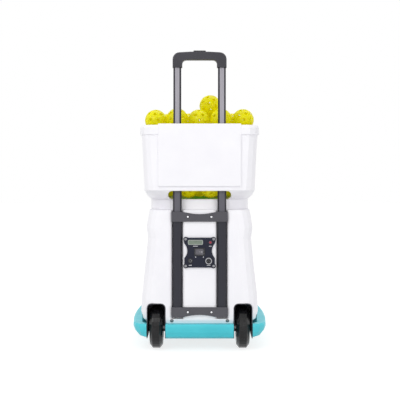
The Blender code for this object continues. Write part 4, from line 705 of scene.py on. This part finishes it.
def screws():
    """Screws in the brackets, the ears of the panel and the foot of the body, each at its own turn, those in
    the brackets and the body each in a dark ring of painted shade.
    """
    bright = screw_mesh("bracket_screw", BRACKET_SCREW_R, BRIGHT_STEEL)
    # Dark rings of painted shade round the bracket screws, standing in for the shade of their counterbores
    seat = screw_seat("bracket_screw_seat", BRACKET_SCREW_R)
    for level in ("upper", "lower"):
        node = level + "_tube_bracket"
        low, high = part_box(node)
        shift = -BRACKET_SCREW_SHIFT if level == "upper" else BRACKET_SCREW_SHIFT
        height = (low.z + high.z) / 2 + shift
        for side, x in (("left", -BRACKET_SCREW_X), ("right", BRACKET_SCREW_X)):
            add_screw(f"{level}_bracket_screw_{side}", bright, node, x, height, 0.4 + x * 20)
            add_screw(f"{level}_bracket_seat_{side}", seat, node, x, height, 0)
    ear = screw_mesh("panel_screw", EAR_SCREW_R, LOOKS["steel"])
    low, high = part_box("control_panel")
    middle = (low.z + high.z) / 2
    for side, x in (("left", -EAR_SCREW_X), ("right", EAR_SCREW_X)):
        for level, rise in (("low", -EAR_SCREW_RISE), ("high", EAR_SCREW_RISE)):
            turn = 31 * x + 17 * rise
            add_screw(f"panel_screw_{side}_{level}", ear, "control_panel", x, middle + rise, turn)
    dark = screw_mesh("shell_screw", BODY_SCREW_R, LOOKS["steel"])
    small = screw_mesh("shell_screw_small", SIDE_SCREW_R, LOOKS["steel"])
    # Dark rings of painted shade round the body's screws, standing in for the shade of their counterbores
    dark_seat = screw_seat("shell_screw_seat", BODY_SCREW_R)
    small_seat = screw_seat("shell_screw_small_seat", SIDE_SCREW_R)
    for side, sign in (("left", -1), ("right", 1)):
        x = sign * BODY_SCREW_X
        add_screw("shell_screw_" + side, dark, "body_shell", x, BODY_SCREW_Z, sign)
        add_screw("shell_seat_" + side, dark_seat, "body_shell", x, BODY_SCREW_Z, 0)
        x = sign * SIDE_SCREW_X
        add_screw("shell_screw_small_" + side, small, "body_shell", x, SIDE_SCREW_Z, sign)
        add_screw("shell_seat_small_" + side, small_seat, "body_shell", x, SIDE_SCREW_Z, 0)


# Control panel

def panel_print(name, x, z, width, height, node="control_panel", body="machine"):
    """A plain printed mark on a face."""
    point, facing = surface(node, x, z)
    mark = plate(name, rounded(width, height, min(width, height) * 0.3, 2), PRINT_RISE, PRINT_WHITE)
    return add(name, mark, body, point, facing)


def display_frame():
    """A clear plastic frame with round ends over the display's edge."""
    low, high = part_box("display_window")
    width = high.x - low.x
    height = high.z - low.z
    outer = rounded(width + 2 * FRAME_LAP, height + 2 * FRAME_LAP, height * 0.3)
    inner = rounded(width - FRAME_LESS_WIDE, height - FRAME_LESS_HIGH, height * 0.18)
    shape = bmesh.new()
    rings = []
    for outline, rise in ((outer, 0.0), (outer, FRAME_EDGE), (inner, FRAME_RISE), (inner, 0.0)):
        rings.append([shape.verts.new((x, y, rise)) for x, y in outline])
    join_rings(shape, rings)
    look = moulded("frame_clear", rgb(150, 158, 150), rgb(166, 174, 166), 0.2, 0.0008, 0.00002, coat=0.6)
    frame_mesh = mesh_from("display_frame", shape, look)
    add("display_frame", frame_mesh, "machine",
        Vector(((low.x + high.x) / 2, low.y, (low.z + high.z) / 2)))


def connector():
    """An insulator, three pins and a nut at the charging inlet, and a ring in the remote socket."""
    low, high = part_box("charging_inlet")
    centre = (low + high) / 2
    floor_y = high.y - INLET_FLOOR
    profile = ((0, 0), (INSULATOR_R, 0), (INSULATOR_R, INSULATOR_HEIGHT - 0.0006),
               (INSULATOR_R - 0.0008, INSULATOR_HEIGHT), (0, INSULATOR_HEIGHT))
    insulator = lathe("inlet_insulator", profile, LOOKS["black_plastic"])
    add("inlet_insulator", insulator, "machine", Vector((centre.x, floor_y, centre.z)))
    profile = ((0, 0), (PIN_R, 0), (PIN_R, PIN_LENGTH - 0.0008), (PIN_R - 0.0005, PIN_LENGTH),
               (0, PIN_LENGTH))
    pin = lathe("inlet_pin", profile, LOOKS["steel"], 12)
    for number in range(3):
        angle = math.radians(90 + 120 * number)
        aside = PIN_CIRCLE_R * math.cos(angle)
        place = Vector((centre.x + aside, floor_y, centre.z + PIN_CIRCLE_R * math.sin(angle)))
        add(f"inlet_pin_{number}", pin, "machine", place)
    profile = ((INLET_NUT_BORE, 0), (INLET_NUT_R, 0), (INLET_NUT_R, INLET_NUT_RISE - 0.0004),
               (INLET_NUT_R - 0.0004, INLET_NUT_RISE), (INLET_NUT_BORE + 0.0002, INLET_NUT_RISE),
               (INLET_NUT_BORE, 0))
    nut = lathe("inlet_nut", profile, LOOKS["black_plastic"], 32)
    add("inlet_nut", nut, "machine", Vector((centre.x, low.y, centre.z)))
    low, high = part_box("remote_socket")
    centre = (low + high) / 2
    profile = ((REMOTE_RING_BORE, -REMOTE_RING_SINK), (REMOTE_RING_R, -REMOTE_RING_SINK),
               (REMOTE_RING_R - 0.0002, 0.0006), (REMOTE_RING_BORE + 0.0002, 0.0008),
               (REMOTE_RING_BORE, -REMOTE_RING_SINK))
    ring = lathe("remote_ring", profile, LOOKS["steel"])
    add("remote_ring", ring, "machine", Vector((centre.x, low.y, centre.z)))


def button_ring():
    """The grey collar moulded round the face of the mode button."""
    low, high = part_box("mode_button")
    radius = (high.z - low.z) / 2
    collar = lathe("button_ring", ((0.72 * radius, 0), (0.98 * radius, 0), (0.94 * radius, 0.0004),
                                   (0.76 * radius, 0.0004), (0.72 * radius, 0)),
                   NODE_LOOKS["power_rocker"], 28)
    middle = (low + high) / 2
    add("button_ring", collar, "red_button", Vector((middle.x, low.y, middle.z)))


def captions():
    """Plain printed bars under each control, and the off and on marks of the switch."""
    below = {"display": ("display_window", 0.0048, 0.0150), "mode": ("mode_button", 0.0075, 0.0085),
             "remote": ("remote_socket", 0.0065, 0.0100), "inlet": ("charging_inlet", 0.0018, 0.0115)}
    for name, (node, drop, width) in below.items():
        near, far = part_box(node)
        panel_print("caption_" + name, (near.x + far.x) / 2, near.z - drop, width, CAPTION_HEIGHT)
    near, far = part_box("rocker_bezel")
    middle = (near.x + far.x) / 2
    panel_print("mark_off", middle - SWITCH_MARK_X, near.z - SWITCH_MARK_DROP, 0.0032, 0.0032)
    panel_print("mark_on", middle + SWITCH_MARK_X, near.z - SWITCH_MARK_DROP, 0.0022, 0.0036)
    near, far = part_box("power_rocker")
    middle = (near.x + far.x) / 2
    height = (near.z + far.z) / 2
    panel_print("rocker_dash", middle + 0.0016, height, 0.0030, 0.0009, "power_rocker", "rocker")
    point, facing = surface("power_rocker", middle + 0.0078, height)
    ring = lathe("rocker_ring", ((0.0011, 0), (0.0019, 0), (0.0019, PRINT_RISE), (0.0011, PRINT_RISE),
                                 (0.0011, 0)), PRINT_WHITE, 20)
    add("rocker_ring", ring, "rocker", point, facing)


# Wheel nuts

def wheel_nuts():
    """A dark six-sided nut on each axle, just outside the tyre."""
    for side, sign in (("left", -1), ("right", 1)):
        tyre_low, tyre_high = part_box(side + "_tyre")
        axle_low, axle_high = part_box(side + "_axle")
        outer = max(abs(tyre_low.x), abs(tyre_high.x))
        end = max(abs(axle_low.x), abs(axle_high.x))
        reach = end - outer - NUT_GAP
        radius = (axle_high.z - axle_low.z) / 2
        centre = (axle_low + axle_high) / 2
        bore = radius + NUT_PLAY
        rim = radius + NUT_WALL
        length = NUT_LENGTH * reach
        profile = ((bore, 0), (rim, 0), (rim, NUT_SHOULDER * reach), (rim - NUT_CHAMFER, length),
                   (bore, length), (bore, 0))
        nut = lathe("wheel_nut", profile, LOOKS["black_plastic"], 6)
        place = Vector((sign * (outer + NUT_GAP), centre.y, centre.z))
        add(side + "_wheel_nut", nut, "machine", place, (sign, 0, 0))


# Edges

def soften(node, width, segments=2):
    """Round the hard edges of a CAD node, as its mould would."""
    bevel = frame["nodes"][node].modifiers.new("edges", "BEVEL")
    bevel.width = width
    bevel.segments = segments
    bevel.limit_method = "ANGLE"
    bevel.angle_limit = math.radians(32)
    bevel.harden_normals = False
    bevel.use_clamp_overlap = True


def soften_nodes():
    """The edges that the photograph shows rounded."""
    for side in ("left", "right"):
        soften(side + "_tyre", 0.003, 3)
        for stage in ("outer", "middle", "top"):
            soften(f"{side}_{stage}_tube", 0.0004, 1)
    for node in ("upper_tube_bracket", "lower_tube_bracket"):
        soften(node, 0.0008)
    soften("hopper", 0.0012)
    soften("release_button", 0.0008)
    soften("handle_grip", 0.003, 3)
    soften("rocker_bezel", 0.0005)


# Studio

def camera():
    """A level camera whose horizon and centre are set by a small shift."""
    data = bpy.data.cameras.new("camera")
    data.sensor_width = SENSOR * 1000
    data.lens = FOCAL_PIXELS / IMAGE_WIDTH * SENSOR * 1000
    data.shift_x = (IMAGE_WIDTH / 2 - CENTRE_COLUMN) / IMAGE_WIDTH
    data.shift_y = (HORIZON_ROW - IMAGE_WIDTH / 2) / IMAGE_WIDTH
    made = bpy.data.objects.new("camera", data)
    made.location = CAMERA_PLACE
    made.rotation_euler = (math.pi / 2, 0, 0)
    bpy.context.scene.collection.objects.link(made)
    bpy.context.scene.camera = made


def seen_directly(tree):
    """One where a ray comes from the camera, a reflection or through glass, and else nought."""
    path = tree.nodes.new("ShaderNodeLightPath")
    total = path.outputs["Is Camera Ray"]
    for name in ("Is Glossy Ray", "Is Transmission Ray"):
        either = tree.nodes.new("ShaderNodeMath")
        either.operation = "MAXIMUM"
        tree.links.new(total, either.inputs[0])
        tree.links.new(path.outputs[name], either.inputs[1])
        total = either.outputs[0]
    return total


def world(strength):
    """White where it is seen, and soft fill light at a plain level for the object."""
    made = bpy.data.worlds.new("studio")
    made.use_nodes = True
    tree = made.node_tree
    tree.nodes.clear()
    output = tree.nodes.new("ShaderNodeOutputWorld")
    mix = tree.nodes.new("ShaderNodeMixShader")
    for slot, level in ((1, strength), (2, 1.0)):
        light = tree.nodes.new("ShaderNodeBackground")
        light.inputs["Strength"].default_value = level
        light.inputs["Color"].default_value = (1, 1, 1, 1)
        tree.links.new(light.outputs["Background"], mix.inputs[slot])
    tree.links.new(seen_directly(tree), mix.inputs["Fac"])
    tree.links.new(mix.outputs["Shader"], output.inputs["Surface"])
    bpy.context.scene.world = made


def floor():
    """A wide pale floor: seen as white, and a little darker in the object's shadow."""
    shape = bmesh.new()
    bmesh.ops.create_grid(shape, x_segments=8, y_segments=8, size=FLOOR_REACH)
    look = bpy.data.materials.new("studio_floor")
    look.use_nodes = True
    tree = look.node_tree
    tree.nodes.clear()
    output = tree.nodes.new("ShaderNodeOutputMaterial")
    mix = tree.nodes.new("ShaderNodeMixShader")
    lit = tree.nodes.new("ShaderNodeBsdfDiffuse")
    lit.inputs["Color"].default_value = (FLOOR_LIT, FLOOR_LIT, FLOOR_LIT, 1)
    shaded = tree.nodes.new("ShaderNodeBsdfDiffuse")
    shaded.inputs["Color"].default_value = (FLOOR_SEEN, FLOOR_SEEN, FLOOR_SEEN, 1)
    glow = tree.nodes.new("ShaderNodeEmission")
    glow.inputs["Strength"].default_value = FLOOR_GLOW
    both = tree.nodes.new("ShaderNodeAddShader")
    tree.links.new(shaded.outputs["BSDF"], both.inputs[0])
    tree.links.new(glow.outputs["Emission"], both.inputs[1])
    tree.links.new(lit.outputs["BSDF"], mix.inputs[1])
    tree.links.new(both.outputs["Shader"], mix.inputs[2])
    tree.links.new(seen_directly(tree), mix.inputs["Fac"])
    tree.links.new(mix.outputs["Shader"], output.inputs["Surface"])
    ground = bpy.data.objects.new("studio_floor", mesh_from("studio_floor", shape, look))
    bpy.context.scene.collection.objects.link(ground)


def lamp(name, place, target, size, power):
    """A rectangular lamp that faces its target."""
    data = bpy.data.lights.new(name, "AREA")
    data.shape = "RECTANGLE"
    data.size, data.size_y = size
    data.energy = power
    made = bpy.data.objects.new(name, data)
    made.location = place
    made.rotation_euler = (Vector(target) - Vector(place)).to_track_quat("-Z", "Y").to_euler()
    bpy.context.scene.collection.objects.link(made)


def studio():
    """Plain soft light on a pale floor."""
    bpy.context.scene.view_settings.view_transform = "Standard"
    world(WORLD_FILL)
    floor()
    middle = (0, 0, 0.5)
    lamp("key", (-1.8, -2.8, 2.6), middle, (1.6, 1.4), KEY_POWER)
    lamp("fill", (1.6, -3.2, 1.0), middle, (1.4, 1.8), FILL_POWER)
    lamp("top", (0.2, 0.4, 3.0), middle, (1.8, 1.8), TOP_POWER)


camera()
dress_nodes()
soften_nodes()
load_of_balls()
screws()
display_frame()
connector()
button_ring()
captions()
wheel_nuts()
studio()
